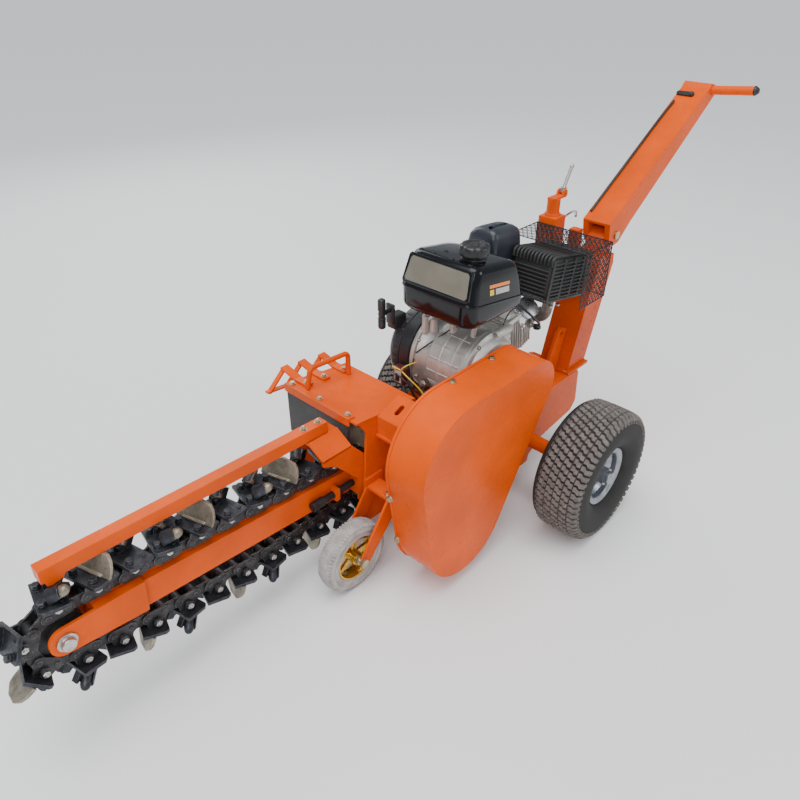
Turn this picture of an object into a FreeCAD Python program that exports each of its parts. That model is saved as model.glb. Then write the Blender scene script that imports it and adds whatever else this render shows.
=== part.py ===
"""Walk-behind chain trencher, built as a parametric document.

Frame: +X from the boom towards the handle, +Y towards the recoil starter, +Z up, ground at z = 0.
Every sub-part is drawn about the rear axle line (x = 0 at the axle) and its own Placement then moves
it by the sheet's axle_x, so that the whole machine's box is centred on the origin.
"""
import FreeCAD
import Part
import bisect
import math
import os
import re
from FreeCAD import Placement, Rotation, Vector

doc = FreeCAD.newDocument("Trencher")
sheet = doc.addObject("Spreadsheet::Sheet", "Dimensions")
D = {}
NODES = []


def dim(alias, value, note):
    """Keep one driving dimension in the sheet and in D."""
    row = str(len(D) + 1)
    sheet.set("A" + row, alias)
    sheet.set("B" + row, str(value))
    sheet.set("C" + row, note)
    sheet.setAlias("B" + row, alias)
    D[alias] = value


# Driving dimensions, mm
dim("axle_x", 249.55, "rear axle from the origin, centres the box in X")
dim("tyre_radius", 190.5, "15 in turf tyre, outside")
dim("tyre_width", 150.0, "turf tyre width")
dim("track_half", 301.0, "wheel centre plane from the middle plane")
dim("rim_radius", 84.0, "rim flange radius")
dim("front_radius", 100.0, "8 in front wheel, outside")
dim("front_width", 50.0, "front wheel width")
dim("front_x", -614.5, "front wheel axle from the rear axle")
dim("front_y", 5.0, "front wheel centre plane")
dim("head_x", -380.0, "head shaft from the rear axle")
dim("head_z", 232.0, "head shaft height")
dim("boom_y", 124.0, "boom centre plane")
dim("boom_centres", 893.2, "head shaft to nose roller")
dim("boom_tilt", 4.1, "rise of the boom at rest, degrees")
dim("chain_pitch", 38.1, "digging chain pitch")
dim("drive_pitch", 15.875, "drive chain pitch")
dim("chain_links", 56, "digging chain length in pitches")
dim("chain_phase", 72.0, "where the first link starts along the top run")
dim("nose_pitch_radius", 61.65, "chain pitch line on the nose roller")
dim("crank_x", -150.0, "crankshaft from the rear axle")
dim("crank_z", 465.0, "crankshaft height")
dim("engine_y", -76.0, "engine drive face")
dim("engine_base", 333.0, "engine foot height")
dim("jack_x", -425.0, "jackshaft from the rear axle")
dim("jack_z", 396.0, "jackshaft height")
dim("guard_face_y", -201.0, "belt guard outer face")
dim("guard_depth", 108.0, "belt guard depth")
dim("sheet_steel", 2.5, "guard sheet thickness")
dim("plate", 8.0, "frame plate thickness")
dim("chassis_half", 86.0, "chassis half width")
dim("chassis_top", 305.0, "chassis top plate height")
dim("wall_near_y", 49.0, "digging head near wall")
dim("wall_far_y", 314.0, "digging head far wall")
dim("deck_front_x", -540.0, "deck front edge")
dim("deck_front_z", 445.0, "deck front edge height")
dim("deck_rear_x", -332.0, "deck rear edge")
dim("deck_rear_z", 422.0, "deck rear edge height")
dim("column_y", -74.0, "column near face")
dim("column_width", 100.0, "column width")
dim("hinge_x", 392.0, "handle hinge pin from the rear axle")
dim("hinge_z", 698.0, "handle hinge pin height")
dim("shaft_radius", 15.0, "head shaft and jackshaft")
dim("running", 0.05, "radial running clearance")
doc.recompute()

WORD = re.compile("|".join(sorted(("\\b" + key + "\\b" for key in D), key=len, reverse=True)))
HEAD = Vector(D["head_x"], D["boom_y"], D["head_z"])
TILT = math.radians(D["boom_tilt"])
ALONG = {"x": Vector(1, 0, 0), "y": Vector(0, 1, 0), "z": Vector(0, 0, 1)}
SKETCH_TURN = {"y": Rotation(Vector(1, 0, 0), 90), "z": Rotation(), "x": Rotation(Vector(1, 1, 1), 120)}


# ---------------------------------------------------------------- building blocks
def bind(obj, prop, value):
    """Bind a property to an expression over the sheet, or leave it a plain number."""
    text = WORD.sub(lambda found: "Dimensions." + found.group(0), str(value))
    obj.setExpression(prop, text)


def put(obj, place, turn=None):
    """Place an object; each coordinate is a number or an expression over the sheet."""
    obj.Placement = Placement(Vector(0, 0, 0), turn or Rotation())
    for axis, value in zip("xyz", place):
        bind(obj, "Placement.Base." + axis, value)
    return obj


def facing(axis):
    return Rotation(Vector(0, 0, 1), ALONG[axis])


def box(size, place, turn=None):
    obj = doc.addObject("Part::Box", "Box")
    for prop, value in zip(("Length", "Width", "Height"), size):
        bind(obj, prop, value)
    return put(obj, place, turn)


def rod(radius, length, place, axis="y", turn=None):
    obj = doc.addObject("Part::Cylinder", "Rod")
    bind(obj, "Radius", radius)
    bind(obj, "Height", length)
    return put(obj, place, turn or facing(axis))


def cone(radius_a, radius_b, length, place, axis="y", turn=None):
    obj = doc.addObject("Part::Cone", "Cone")
    bind(obj, "Radius1", radius_a)
    bind(obj, "Radius2", radius_b)
    bind(obj, "Height", length)
    return put(obj, place, turn or facing(axis))


def ball(radius, place):
    obj = doc.addObject("Part::Sphere", "Ball")
    bind(obj, "Radius", radius)
    return put(obj, place)


def hexagon(radius, length, place, axis="y", turn=None):
    obj = doc.addObject("Part::Prism", "Hexagon")
    obj.Polygon = 6
    bind(obj, "Circumradius", radius)
    bind(obj, "Height", length)
    return put(obj, place, turn or facing(axis))


def fuse(*parts):
    if len(parts) == 1:
        return parts[0]
    obj = doc.addObject("Part::MultiFuse", "Fuse")
    obj.Shapes = list(parts)
    return obj


def cut(base, *tools):
    obj = doc.addObject("Part::Cut", "Cut")
    obj.Base = base
    obj.Tool = fuse(*tools)
    return obj


def ring(outer, inner, length, place, axis="y"):
    bore_place = list(place)
    index = "xyz".index(axis)
    bore_place[index] = "%s - 1" % place[index]
    return cut(rod(outer, length, place, axis), rod(inner, "%s + 2" % length, bore_place, axis))


def corners(points):
    """Edges of a closed outline; a point's third value rounds its corner."""
    count = len(points)
    spots = [Vector(p[0], p[1], 0) for p in points]
    bends = []
    for i, point in enumerate(points):
        here = spots[i]
        radius = point[2] if len(point) > 2 else 0
        back = (spots[i - 1] - here).normalize()
        ahead = (spots[(i + 1) % count] - here).normalize()
        if radius <= 0:
            bends.append((here, None, here))
            continue
        half = math.acos(max(-1.0, min(1.0, back.dot(ahead)))) / 2
        reach = radius / math.tan(half)
        middle = (back + ahead).normalize()
        top = here + middle * (radius / math.sin(half) - radius)
        bends.append((here + back * reach, top, here + ahead * reach))
    edges = []
    for i, (start, top, end) in enumerate(bends):
        if top is not None:
            edges.append(Part.Arc(start, top, end))
        following = bends[(i + 1) % count][0]
        if end.distanceToPoint(following) > 1e-6:
            edges.append(Part.LineSegment(end, following))
    return edges


def plate(outline, start, length, axis="y", holes=()):
    """Extrude an outline along an axis; holes are (a, b, radius) or outlines."""
    sketch = doc.addObject("Sketcher::SketchObject", "Outline")
    sketch.addGeometry(corners(outline) if isinstance(outline[0], tuple) else outline, False)
    for hole in holes:
        if isinstance(hole, tuple):
            circle = Part.Circle(Vector(hole[0], hole[1], 0), Vector(0, 0, 1), hole[2])
            sketch.addGeometry(circle, False)
        else:
            sketch.addGeometry(corners(hole), False)
    place = {"x": (start, 0, 0), "y": (0, start, 0), "z": (0, 0, start)}[axis]
    put(sketch, place, SKETCH_TURN[axis])
    obj = doc.addObject("Part::Extrusion", "Plate")
    obj.Base = sketch
    obj.DirMode = "Custom"
    obj.Dir = ALONG[axis]
    obj.Solid = True
    bind(obj, "LengthFwd", length)
    return obj


def turned(profile, place, axis="y"):
    """Revolve a closed (radius, height) profile about an axis through place."""
    sketch = doc.addObject("Sketcher::SketchObject", "Profile")
    sketch.addGeometry(corners(profile), False)
    sketch.Placement = Placement(Vector(0, 0, 0), Rotation(Vector(1, 0, 0), 90))
    obj = doc.addObject("Part::Revolution", "Turned")
    obj.Source = sketch
    obj.Axis = Vector(0, 0, 1)
    obj.Base = Vector(0, 0, 0)
    obj.Angle = 360
    obj.Solid = True
    carrier = doc.addObject("Part::Compound", "TurnedAt")
    carrier.Links = [obj]
    return put(carrier, place, facing(axis))


def slab(outline, thickness, place, turn, holes=()):
    """A flat plate drawn in its own XY plane, then turned and placed."""
    carrier = doc.addObject("Part::Compound", "Slab")
    carrier.Links = [plate(outline, 0, thickness, "z", holes)]
    return put(carrier, place, turn)


def made(shape):
    """A shape worked out with Part's own functions."""
    obj = doc.addObject("Part::Feature", "Made")
    obj.Shape = shape
    return obj


def tube_path(points, share=0.45):
    """A route of straight runs joined by tangent arcs, and its smallest radius."""
    spots = [Vector(*p) for p in points]
    edges = []
    start = spots[0]
    smallest = 1e9
    for i in range(1, len(spots) - 1):
        back = spots[i - 1] - spots[i]
        ahead = spots[i + 1] - spots[i]
        shorter = min(back.Length, ahead.Length)
        back.normalize()
        ahead.normalize()
        turn = math.pi - math.acos(back.dot(ahead))
        reach = share * shorter
        radius = reach / math.tan(turn / 2)
        smallest = min(smallest, radius)
        begin = spots[i] + back * reach
        finish = spots[i] + ahead * reach
        middle = (back + ahead).normalize()
        top = spots[i] + middle * (radius / math.cos(turn / 2) - radius)
        edges.append(Part.LineSegment(start, begin).toShape())
        edges.append(Part.Arc(begin, top, finish).toShape())
        start = finish
    edges.append(Part.LineSegment(start, spots[-1]).toShape())
    return Part.Wire(edges), smallest


def cord(name, points, radius, share=0.45):
    """A round tube along a route, checked against its length."""
    path, smallest = tube_path(points, share)
    first = path.Edges[0]
    start = first.valueAt(first.FirstParameter)
    along = first.tangentAt(first.FirstParameter)
    section = Part.Wire(Part.makeCircle(radius, start, along))
    solid = path.makePipeShell([section], True, False)
    expected = math.pi * radius ** 2 * path.Length
    print("%s length %.1f smallest radius %.1f volume ratio %.4f"
          % (name, path.Length, smallest, solid.Volume / expected))
    return made(solid)


def node(name, *parts):
    """One named sub-part: its pieces, moved together to the machine's frame."""
    obj = doc.addObject("Part::Compound", "Node")
    obj.Links = list(parts)
    obj.Label = name
    put(obj, ("axle_x", 0, 0))
    NODES.append(obj)
    return obj


def boom_point(along, up, across=0.0):
    """A point given along the boom from the head shaft, above its line and across it."""
    return Vector(HEAD.x - along * math.cos(TILT) + up * math.sin(TILT),
                  HEAD.y + across,
                  HEAD.z + along * math.sin(TILT) + up * math.cos(TILT))


def boom_outline(points):
    """Turn (along, up, radius) points of the boom's side view into the machine's X and Z."""
    turned_points = []
    for point in points:
        spot = boom_point(point[0], point[1])
        turned_points.append((spot.x, spot.z) + tuple(point[2:]))
    return turned_points


# ---------------------------------------------------------------- wheels
def tyre(name, y):
    """Turf tyre: carcass with rounded shoulders, bored for its rim."""
    radius = D["tyre_radius"]
    half = D["tyre_width"] / 2
    bead = D["rim_radius"] + 0.8
    seat = D["rim_radius"] - 14.0
    profile = [
        (bead, -half + 26, 2), (bead + 6, -half + 14, 8), (radius - 52, -half, 30), (radius - 8, -half + 6, 14),
        (radius, -half + 34, 60), (radius, half - 34, 60), (radius - 8, half - 6, 14), (radius - 52, half, 30),
        (bead + 6, half - 14, 8), (bead, half - 26, 2), (seat, half - 33, 3), (seat, half - 44, 3),
        (bead + 12, half - 50, 14), (radius - 34, 20, 20), (radius - 34, -20, 20), (bead + 12, -half + 50, 14),
        (seat, -half + 44, 3), (seat, -half + 33, 3)]
    node(name, turned(profile, (0, y, "tyre_radius")))


def rim(name, y, side):
    """Pressed rim with a dished disc, a hub tube and a cap on its outer end."""
    half = D["tyre_width"] / 2
    flange = D["rim_radius"]
    seat = flange - 14.3
    wall = 3.0
    shell = [
        (flange, -half + 22), (flange, -half + 25), (seat + wall + 3, -half + 27, 4), (seat, -half + 29.5, 3),
        (seat, -half + 44), (seat - 12, -20, 14), (seat - 12, 20, 14), (seat, half - 44), (seat, half - 29.5, 3),
        (seat + wall + 3, half - 27, 4), (flange, half - 25), (flange, half - 22), (seat + 2, half - 24, 4),
        (seat - 3.2, half - 28, 4), (seat - 3.2, half - 43), (seat - 15.2, 21, 11), (seat - 15.2, -21, 11),
        (seat - 3.2, -half + 43), (seat - 3.2, -half + 28, 4), (seat + 2, -half + 24, 4)]
    hub_radius = 24.0
    disc = [
        (hub_radius - 2, side * 31), (seat - 40, side * 31, 8), (seat - 28, side * 14, 8), (seat - 14.6, side * 14),
        (seat - 14.6, side * 10), (seat - 31, side * 10, 6), (seat - 43, side * 27, 6), (hub_radius - 2, side * 27)]
    bore = "12.7 + running"
    hub = ring(hub_radius, bore, 112, (0, y + " - 56", "tyre_radius"))
    body = fuse(turned(shell, (0, y, "tyre_radius")), turned(disc, (0, y, "tyre_radius")), hub)
    start = 57.0 if side > 0 else -57.0
    cap_profile = [(0, start), (19, start), (19, start + side * 12, 6), (0, start + side * 15)]
    cap = turned(cap_profile, (0, y, "tyre_radius"))
    node(name, body, cap)


def front_wheel():
    """Solid-rubber front wheel on a spoked rim."""
    half = D["front_width"] / 2
    outer = D["front_radius"]
    place = ("front_x", "front_y", "front_radius")
    rim_outer = 62.0
    rubber = [
        (rim_outer + 0.2, -half + 6), (rim_outer + 8, -half + 1, 6), (outer - 14, -half, 10), (outer, -half + 9, 12),
        (outer, half - 9, 12), (outer - 14, half, 10), (rim_outer + 8, half - 1, 6), (rim_outer + 0.2, half - 6)]
    node("front_tyre", turned(rubber, place))
    barrel = [
        (rim_outer, -half + 5), (rim_outer, half - 5), (rim_outer - 4, half - 5), (rim_outer - 8, half - 14, 3),
        (rim_outer - 8, -half + 14, 3), (rim_outer - 4, -half + 5)]
    bore = "8 + running"
    hub = ring(17, bore, 46, ("front_x", "front_y - 23", "front_radius"))
    spokes = []
    for k in range(5):
        turn = Rotation(Vector(0, 1, 0), 72 * k)
        offset = turn.multVec(Vector(14, 0, -6))
        spot = (D["front_x"] + offset.x, D["front_y"] - 4, D["front_radius"] + offset.z)
        spokes.append(box((rim_outer - 21, 8, 12), spot, turn))
    node("front_rim", fuse(turned(barrel, place), hub, *spokes))


# ---------------------------------------------------------------- chassis and column
def chassis():
    """Welded box frame that carries the axle tube, the engine and the column."""
    top = D["chassis_top"]
    side_outline = [
        (-236, top, 4), (270, top, 12), (279, 190, 20), (256, 162), (91, 142), (34, 106), (30, 84, 6),
        (-15, 84, 6), (-60, 120), (-236, 120, 30)]
    near = plate(side_outline, "-chassis_half", "plate")
    far = plate(side_outline, "chassis_half - plate", "plate")
    inner = "2 * chassis_half - 2 * plate + 2"
    top_plate = box((504, inner, "plate"), (-236, "-chassis_half + plate - 1", "chassis_top - plate"))
    rear = box((8, inner, 104), (262, "-chassis_half + plate - 1", 196))
    front = box((8, inner, 150), (-236, "-chassis_half + plate - 1", 130))
    engine_plate = box((256, 262, 10), (-224, -86, "engine_base - 10"))
    riser_near = box((246, 10, 22), (-219, -80, 302))
    riser_mid = box((246, 10, 22), (-219, 70, 302))
    outrigger = box((90, 88, 8), (-219, 85, 315))
    bore = rod("21 + 0.3", 220, (0, -110, "tyre_radius"))
    body = cut(fuse(near, far, top_plate, rear, front, engine_plate, riser_near, riser_mid, outrigger), bore)
    node("chassis_frame", body)

    tube = ring(21, 13.2, 424, (0, -212, "tyre_radius"))
    axle = rod(12.7, 712, (0, -356, "tyre_radius"))
    collars = [ring(20, 12.9, 12, (0, y, "tyre_radius")) for y in (-243.5, 231.5)]
    node("rear_axle", tube, axle, *collars)


def column():
    """Leaning box column with its foot, drilled lug and the fork that takes the arm."""
    near = D["column_y"]
    width = D["column_width"]
    foot_z = D["chassis_top"]
    outline = [(222, foot_z + 9), (317, foot_z + 9), (404, 612, 10), (399, 640), (322, 640, 4), (282, 528)]
    hollow = [(227, foot_z + 13), (313, foot_z + 13), (399, 613, 6), (395, 635), (326, 635), (287, 528)]
    shell = cut(plate(outline, near, width), plate(hollow, near + 5, width - 10))
    foot = box((112, width + 22, 9), (212, near - 10, foot_z))
    tongue_outline = [(330, 636), (399, 636), (412, 690, 8), (406, 716, 18), (374, 716, 18), (350, 690, 8)]
    tongue = plate(tongue_outline, near + 17, 52, holes=[(D["hinge_x"], D["hinge_z"], 8.05)])
    root = box((78, width, 8), (321, near, 633))
    stop = box((26, 30, 78), (296, near + 70, 640))
    stop_root = box((32, 30, 40), (296, near + 70, 601))
    lug = plate([(148, foot_z + 9), (214, foot_z + 9), (243, 440, 6), (216, 452, 6), (196, 440, 6)],
                near + 34, 10, holes=[(217, 428, 9)])
    gusset = box((60, 10, 9), (158, near + 34, foot_z))
    pump_pad = box((56, 92, 8), (276, near + width, 561))
    node("column", fuse(shell, foot, tongue, root, stop, stop_root, lug, gusset), pump_pad)


# ---------------------------------------------------------------- digging head
def deck_height(x):
    """Deck top surface height at x."""
    share = (x - D["deck_front_x"]) / (D["deck_rear_x"] - D["deck_front_x"])
    return D["deck_front_z"] + share * (D["deck_rear_z"] - D["deck_front_z"])


def head_housing():
    """Two side walls joined by cross members: it carries the head shaft and the deck."""
    under = 6.6
    wall = [
        (-527, 130, 12), (-507, 400), (-532, deck_height(-532) - under), (-338, deck_height(-338) - under),
        (-338, 396), (-296, 348, 20), (-236.4, 300, 12), (-236.4, 140, 20), (-280, 122, 20), (-500, 116, 20)]
    head_hole = (D["head_x"], D["head_z"], 26)
    near = plate(wall, "wall_near_y", "plate", holes=[head_hole])
    far = plate(wall, "wall_far_y - plate", "plate", holes=[head_hole])
    span = "wall_far_y - wall_near_y - 2 * plate + 2"
    start = "wall_near_y + plate - 1"
    rear = box((8, span, 140), (-244.4, start, 145))
    brace = box((30, span, 6), (-374, start, 404))
    node("head_housing", fuse(near, far, rear, brace))


def deck():
    """Sloping deck with its clamp strip, rubber flap and lifting handle."""
    fx = D["deck_front_x"]
    fz = D["deck_front_z"]
    rx = D["deck_rear_x"]
    rz = D["deck_rear_z"]
    width = "wall_far_y - wall_near_y"
    skin = [(fx, fz), (rx, rz), (rx + 12, rz - 22), (rx + 7, rz - 24), (rx - 3, rz - 6), (fx, fz - 6)]
    node("deck_plate", plate(skin, "wall_near_y", width))
    slope = Rotation(Vector(0, 1, 0), math.degrees(math.atan2(fz - rz, rx - fx)))
    strip = box((17, "wall_far_y - wall_near_y - 24", 5), (fx - 1, "wall_near_y + 24", fz + 0.2), slope)
    lip = box((5, "wall_far_y - wall_near_y - 24", 22), (fx - 5.5, "wall_near_y + 24", fz - 16.5))
    node("deck_clamp_strip", fuse(strip, lip))
    top = fz - 7
    flap = [(84, top), (84, 382, 3), (186, 382), (186, 300, 3), (312, 300, 3), (312, top)]
    node("rubber_flap", plate(flap, fx - 0.3, 6.6, "x"))
    lift = 1.8
    handle_y = 257
    route = [(-516, handle_y, deck_height(-516) + lift), (-502, handle_y, 500), (-372, handle_y, 492),
             (-372, handle_y, deck_height(-372) + lift)]
    node("deck_handle", cord("deck_handle", route, 7.0, share=0.2))


def auger_guard():
    """Bent straps bolted to the deck that reach over the spoil auger."""
    straps = []
    for x in (-500, -441, -370):
        level = deck_height(x)
        straps.append(box((24, 54, 5), (x - 12, 266, level + 1.8)))
        straps.append(box((24, 58, 5), (x - 12, 315, level + 1.8), Rotation(Vector(1, 0, 0), 14)))
        straps.append(box((76, 14, 5), (x - 58, 361, level - 40), Rotation(Vector(0, 1, 0), -42)))
    bar_turn = Rotation(Vector(0, 1, 0), 6.3)
    front_bar = box((196, 14, 5), (-566, 361, deck_height(-560) - 42), bar_turn)
    node("auger_guard", fuse(*straps, front_bar))


def slot_bracket():
    """Bent bracket on the deck with a long adjusting slot."""
    turn = Rotation(Vector(0, 1, 0), -24)
    place = (-466, -22, 428)
    slot = [(24, 26, 6.9), (56, 26, 6.9), (56, 40, 6.9), (24, 40, 6.9)]
    face = slab([(0, 0, 3), (78, 0, 3), (78, 70, 3), (0, 70, 3)], 6, place, turn, holes=[slot])
    foot = box((92, 82, 7), (-478, -34, 378))
    front = box((7, 70, 56), (-472, -22, 380))
    rear = box((7, 70, 84), (-401, -22, 380))
    node("slot_bracket", fuse(face, foot, front, rear))


# ---------------------------------------------------------------- drive train and its guard
GUARD_OUTLINE = [(-606, 552, 160), (-27, 552, 75), (-320, 44, 140), (-526, 44, 140)]
HEAD_TEETH = 40
JACK_TEETH = 12
HEAD_SPROCKET = D["drive_pitch"] / 2 / math.sin(math.pi / HEAD_TEETH)
JACK_SPROCKET = D["drive_pitch"] / 2 / math.sin(math.pi / JACK_TEETH)
JACK_PULLEY = 130.0
ENGINE_PULLEY = 45.0


def grown(outline, step):
    """A convex outline moved inwards (negative) or outwards, corner radii kept concentric."""
    count = len(outline)
    moved = []
    for i, (x, z, radius) in enumerate(outline):
        here = Vector(x, z, 0)
        back = (Vector(*outline[i - 1][:2]) - here).normalize()
        ahead = (Vector(*outline[(i + 1) % count][:2]) - here).normalize()
        half = math.acos(back.dot(ahead)) / 2
        spot = here - (back + ahead).normalize() * (step / math.sin(half))
        moved.append((spot.x, spot.y, radius + step))
    return moved


def loop(first, first_radius, second, second_radius):
    """Edges of a belt round two wheels, each given by (x, z) and a radius."""
    a = Vector(first[0], first[1], 0)
    b = Vector(second[0], second[1], 0)
    line = b - a
    tilt = math.acos((first_radius - second_radius) / line.Length)
    heading = math.atan2(line.y, line.x)

    def rim_point(centre, radius, angle):
        return centre + Vector(math.cos(angle), math.sin(angle), 0) * radius

    a_up = rim_point(a, first_radius, heading + tilt)
    a_down = rim_point(a, first_radius, heading - tilt)
    a_back = rim_point(a, first_radius, heading + math.pi)
    b_up = rim_point(b, second_radius, heading + tilt)
    b_down = rim_point(b, second_radius, heading - tilt)
    b_front = rim_point(b, second_radius, heading)
    return [Part.Arc(a_up, a_back, a_down), Part.LineSegment(a_down, b_down),
            Part.Arc(b_down, b_front, b_up), Part.LineSegment(b_up, a_up)]


def band(first, first_radius, second, second_radius, thick, y, width):
    outer = plate(loop(first, first_radius + thick, second, second_radius + thick), y, width)
    inner = plate(loop(first, first_radius, second, second_radius), y - 1, width + 2)
    return cut(outer, inner)


def toothed(radius, teeth, depth, place_y, width, centre, phase=0.0):
    """A sprocket disc with straight-sided teeth."""
    points = []
    step = 2 * math.pi / teeth
    for k in range(teeth):
        for share, reach in ((-0.30, radius - depth), (-0.13, radius), (0.13, radius), (0.30, radius - depth)):
            angle = phase + (k + share) * step
            points.append((centre[0] + reach * math.cos(angle), centre[1] + reach * math.sin(angle)))
    return plate(points, place_y, width)


def pulley(radius, place, hub_radius, bore):
    """Two-groove pulley: the belts ride on its groove floors."""
    flange = radius + 8
    floor = radius - 0.6
    profile = [(0, 0), (flange, 0), (floor, 5), (floor, 15), (flange, 19), (flange, 22), (floor, 26), (floor, 36),
               (flange, 41), (0, 41)]
    disc = turned(profile, place)
    if radius > 100:
        recess = [(hub_radius + 4, 14), (floor - 12, 14, 4), (floor - 12, 42), (hub_radius + 4, 42)]
        disc = cut(disc, turned(recess, place))
    hub_place = (place[0], place[1] + 41, place[2])
    hub = rod(hub_radius, 14, hub_place)
    if bore is None:
        return fuse(disc, hub)
    hole = rod(bore, 80, (place[0], place[1] - 5, place[2]))
    return cut(fuse(disc, hub), hole)


def belt_guard():
    """Pressed cover over the belts and the drive chain, and the plate it bolts to."""
    wall = D["sheet_steel"]
    outer = plate(GUARD_OUTLINE, "guard_face_y", "guard_depth")
    inner = plate(grown(GUARD_OUTLINE, -wall), "guard_face_y + sheet_steel", "guard_depth")
    node("belt_guard", cut(outer, inner))
    holes = [(D["head_x"], D["head_z"], 17), (D["jack_x"], D["jack_z"], 17), (D["crank_x"], D["crank_z"], 30)]
    back = plate(grown(GUARD_OUTLINE, 3), "guard_face_y + guard_depth", 6.8, holes=holes)
    node("guard_back_plate", back)


def drive_train():
    """Engine pulley, belts, jackshaft, drive chain, head shaft, sprocket and auger."""
    engine = (D["crank_x"], D["crank_z"])
    jack = (D["jack_x"], D["jack_z"])
    head = (D["head_x"], D["head_z"])
    pulley_y = -192
    chain_y = -128
    stub = rod(12.7, 110, ("crank_x", -166, "crank_z"))
    node("engine_pulley", fuse(pulley(ENGINE_PULLEY, ("crank_x", pulley_y, "crank_z"), 24, None), stub))
    node("jack_pulley", pulley(JACK_PULLEY, ("jack_x", pulley_y, "jack_z"), 30, 15))
    jack_rod = rod("shaft_radius", 156, ("jack_x", -196, "jack_z"))
    small = toothed(JACK_SPROCKET, JACK_TEETH, 6, chain_y, 10, jack)
    node("jack_shaft", fuse(jack_rod, small))
    belts = [band(jack, JACK_PULLEY, engine, ENGINE_PULLEY, 9, pulley_y + y, 9) for y in (5.5, 26.5)]
    node("v_belts", *belts)
    big = cut(toothed(HEAD_SPROCKET, HEAD_TEETH, 6, chain_y, 10, head), rod(15, 14, ("head_x", chain_y - 2, "head_z")))
    node("driven_sprocket", big)
    drive = band(head, HEAD_SPROCKET + 0.6, jack, JACK_SPROCKET + 0.6, 9, chain_y - 2, 14)
    node("drive_chain", drive)
    node("head_shaft", rod("shaft_radius", 510, ("head_x", -142, "head_z")))
    bearings = [ring(34, "shaft_radius + running", 12, ("head_x", -85.8, "head_z"))]
    for y in (47, 304):
        bearings.append(ring(25.8, "shaft_radius + running", 12, ("head_x", y, "head_z")))
    bearings.append(ring(30, "shaft_radius + running", 40, ("jack_x", -85.8, "jack_z")))
    node("shaft_bearings", *bearings)


# ---------------------------------------------------------------- boom and digging chain
ROLLER = 11.1
HEAD_PITCH_RADIUS = D["chain_pitch"] / 2 / math.sin(math.pi / 8)


def chain_route(sag):
    """The chain's pitch line in the boom's own axes, from the head's top, as close-set points."""
    nose = D["boom_centres"]
    tip_radius = D["nose_pitch_radius"]
    lean = math.asin((tip_radius - HEAD_PITCH_RADIUS) / nose)
    fall = math.atan(4 * sag / nose)
    head_angle = -math.pi / 2 - fall
    points = [Vector(HEAD_PITCH_RADIUS * math.cos(math.pi / 2 + lean),
                     HEAD_PITCH_RADIUS * math.sin(math.pi / 2 + lean), 0)]

    def arc(centre, radius, start, end):
        steps = 240
        for k in range(steps + 1):
            angle = start + (end - start) * k / steps
            points.append(Vector(centre + radius * math.cos(angle), radius * math.sin(angle), 0))

    arc(nose, tip_radius, math.pi / 2 + lean, -math.pi / 2 + fall)
    leave = points[-1]
    arrive = Vector(HEAD_PITCH_RADIUS * math.cos(head_angle), HEAD_PITCH_RADIUS * math.sin(head_angle), 0)
    steps = 400
    for k in range(1, steps):
        share = k / steps
        spot = leave + (arrive - leave) * share
        points.append(Vector(spot.x, spot.y - 4 * sag * share * (1 - share), 0))
    arc(0, HEAD_PITCH_RADIUS, head_angle, -3 * math.pi / 2 + lean)
    return points


def walk(sag):
    """Step rigid links round the route; gives the pins and how far the last link overshoots."""
    route = chain_route(sag)
    lengths = [0.0]
    for k in range(1, len(route)):
        lengths.append(lengths[-1] + (route[k] - route[k - 1]).Length)
    total = lengths[-1]

    def at(distance):
        distance = distance % total
        index = min(bisect.bisect_right(lengths, distance), len(route) - 1) - 1
        span = max(lengths[index + 1] - lengths[index], 1e-9)
        return route[index] + (route[index + 1] - route[index]) * ((distance - lengths[index]) / span)

    distance = D["chain_phase"]
    pins = [at(distance)]
    for _ in range(int(D["chain_links"])):
        following = distance + D["chain_pitch"]
        for _ in range(4):
            following += D["chain_pitch"] - (at(following) - pins[-1]).Length
        distance = following
        pins.append(at(distance))
    return pins[:-1], distance - D["chain_phase"] - total


def chain_joints():
    """Pin positions of a chain whose sag is just what its whole number of links needs."""
    low = 5.0
    high = 90.0
    for _ in range(24):
        middle = (low + high) / 2
        if walk(middle)[1] > 0:
            low = middle
        else:
            high = middle
    print("chain sag %.2f" % middle)
    return walk(middle)[0]


def link_frame(start, end):
    """Placement of a link: its X from pin to pin, Z outwards, about the middle of its two pins."""
    middle = (start + end) * 0.5
    along = (end - start).normalize()
    here = boom_point(middle.x, middle.y)
    direction = boom_point(middle.x + along.x, middle.y + along.y) - here
    outward = Vector(0, 1, 0).cross(direction)
    turn = Rotation(direction, Vector(0, -1, 0), outward, "XZY")
    return Placement(here, turn)


def stadium(length, height, y, thick, holes):
    """A link plate standing in the XZ plane."""
    half = length / 2
    shape = Part.makeBox(length, thick, height, Vector(-half, y, -height / 2))
    for x in (-half, half):
        shape = shape.fuse(Part.makeCylinder(height / 2, thick, Vector(x, y, 0), Vector(0, 1, 0)))
    for x in holes:
        shape = shape.cut(Part.makeCylinder(x[1], thick + 2, Vector(x[0], y - 1, 0), Vector(0, 1, 0)))
    return shape.removeSplitter()


def inner_link(pitch):
    """Two inner plates on two bushes."""
    half = pitch / 2
    shape = None
    for y in (-16.6, 12.6):
        side = stadium(pitch - 0.8, 27, y, 4, [(-half, 5.7), (half, 5.7)])
        shape = side if shape is None else shape.fuse(side)
    for x in (-half, half):
        bush = Part.makeCylinder(ROLLER, 26, Vector(x, -13, 0), Vector(0, 1, 0))
        bush = bush.cut(Part.makeCylinder(5.7, 30, Vector(x, -15, 0), Vector(0, 1, 0)))
        shape = shape.fuse(bush)
    return shape


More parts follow.
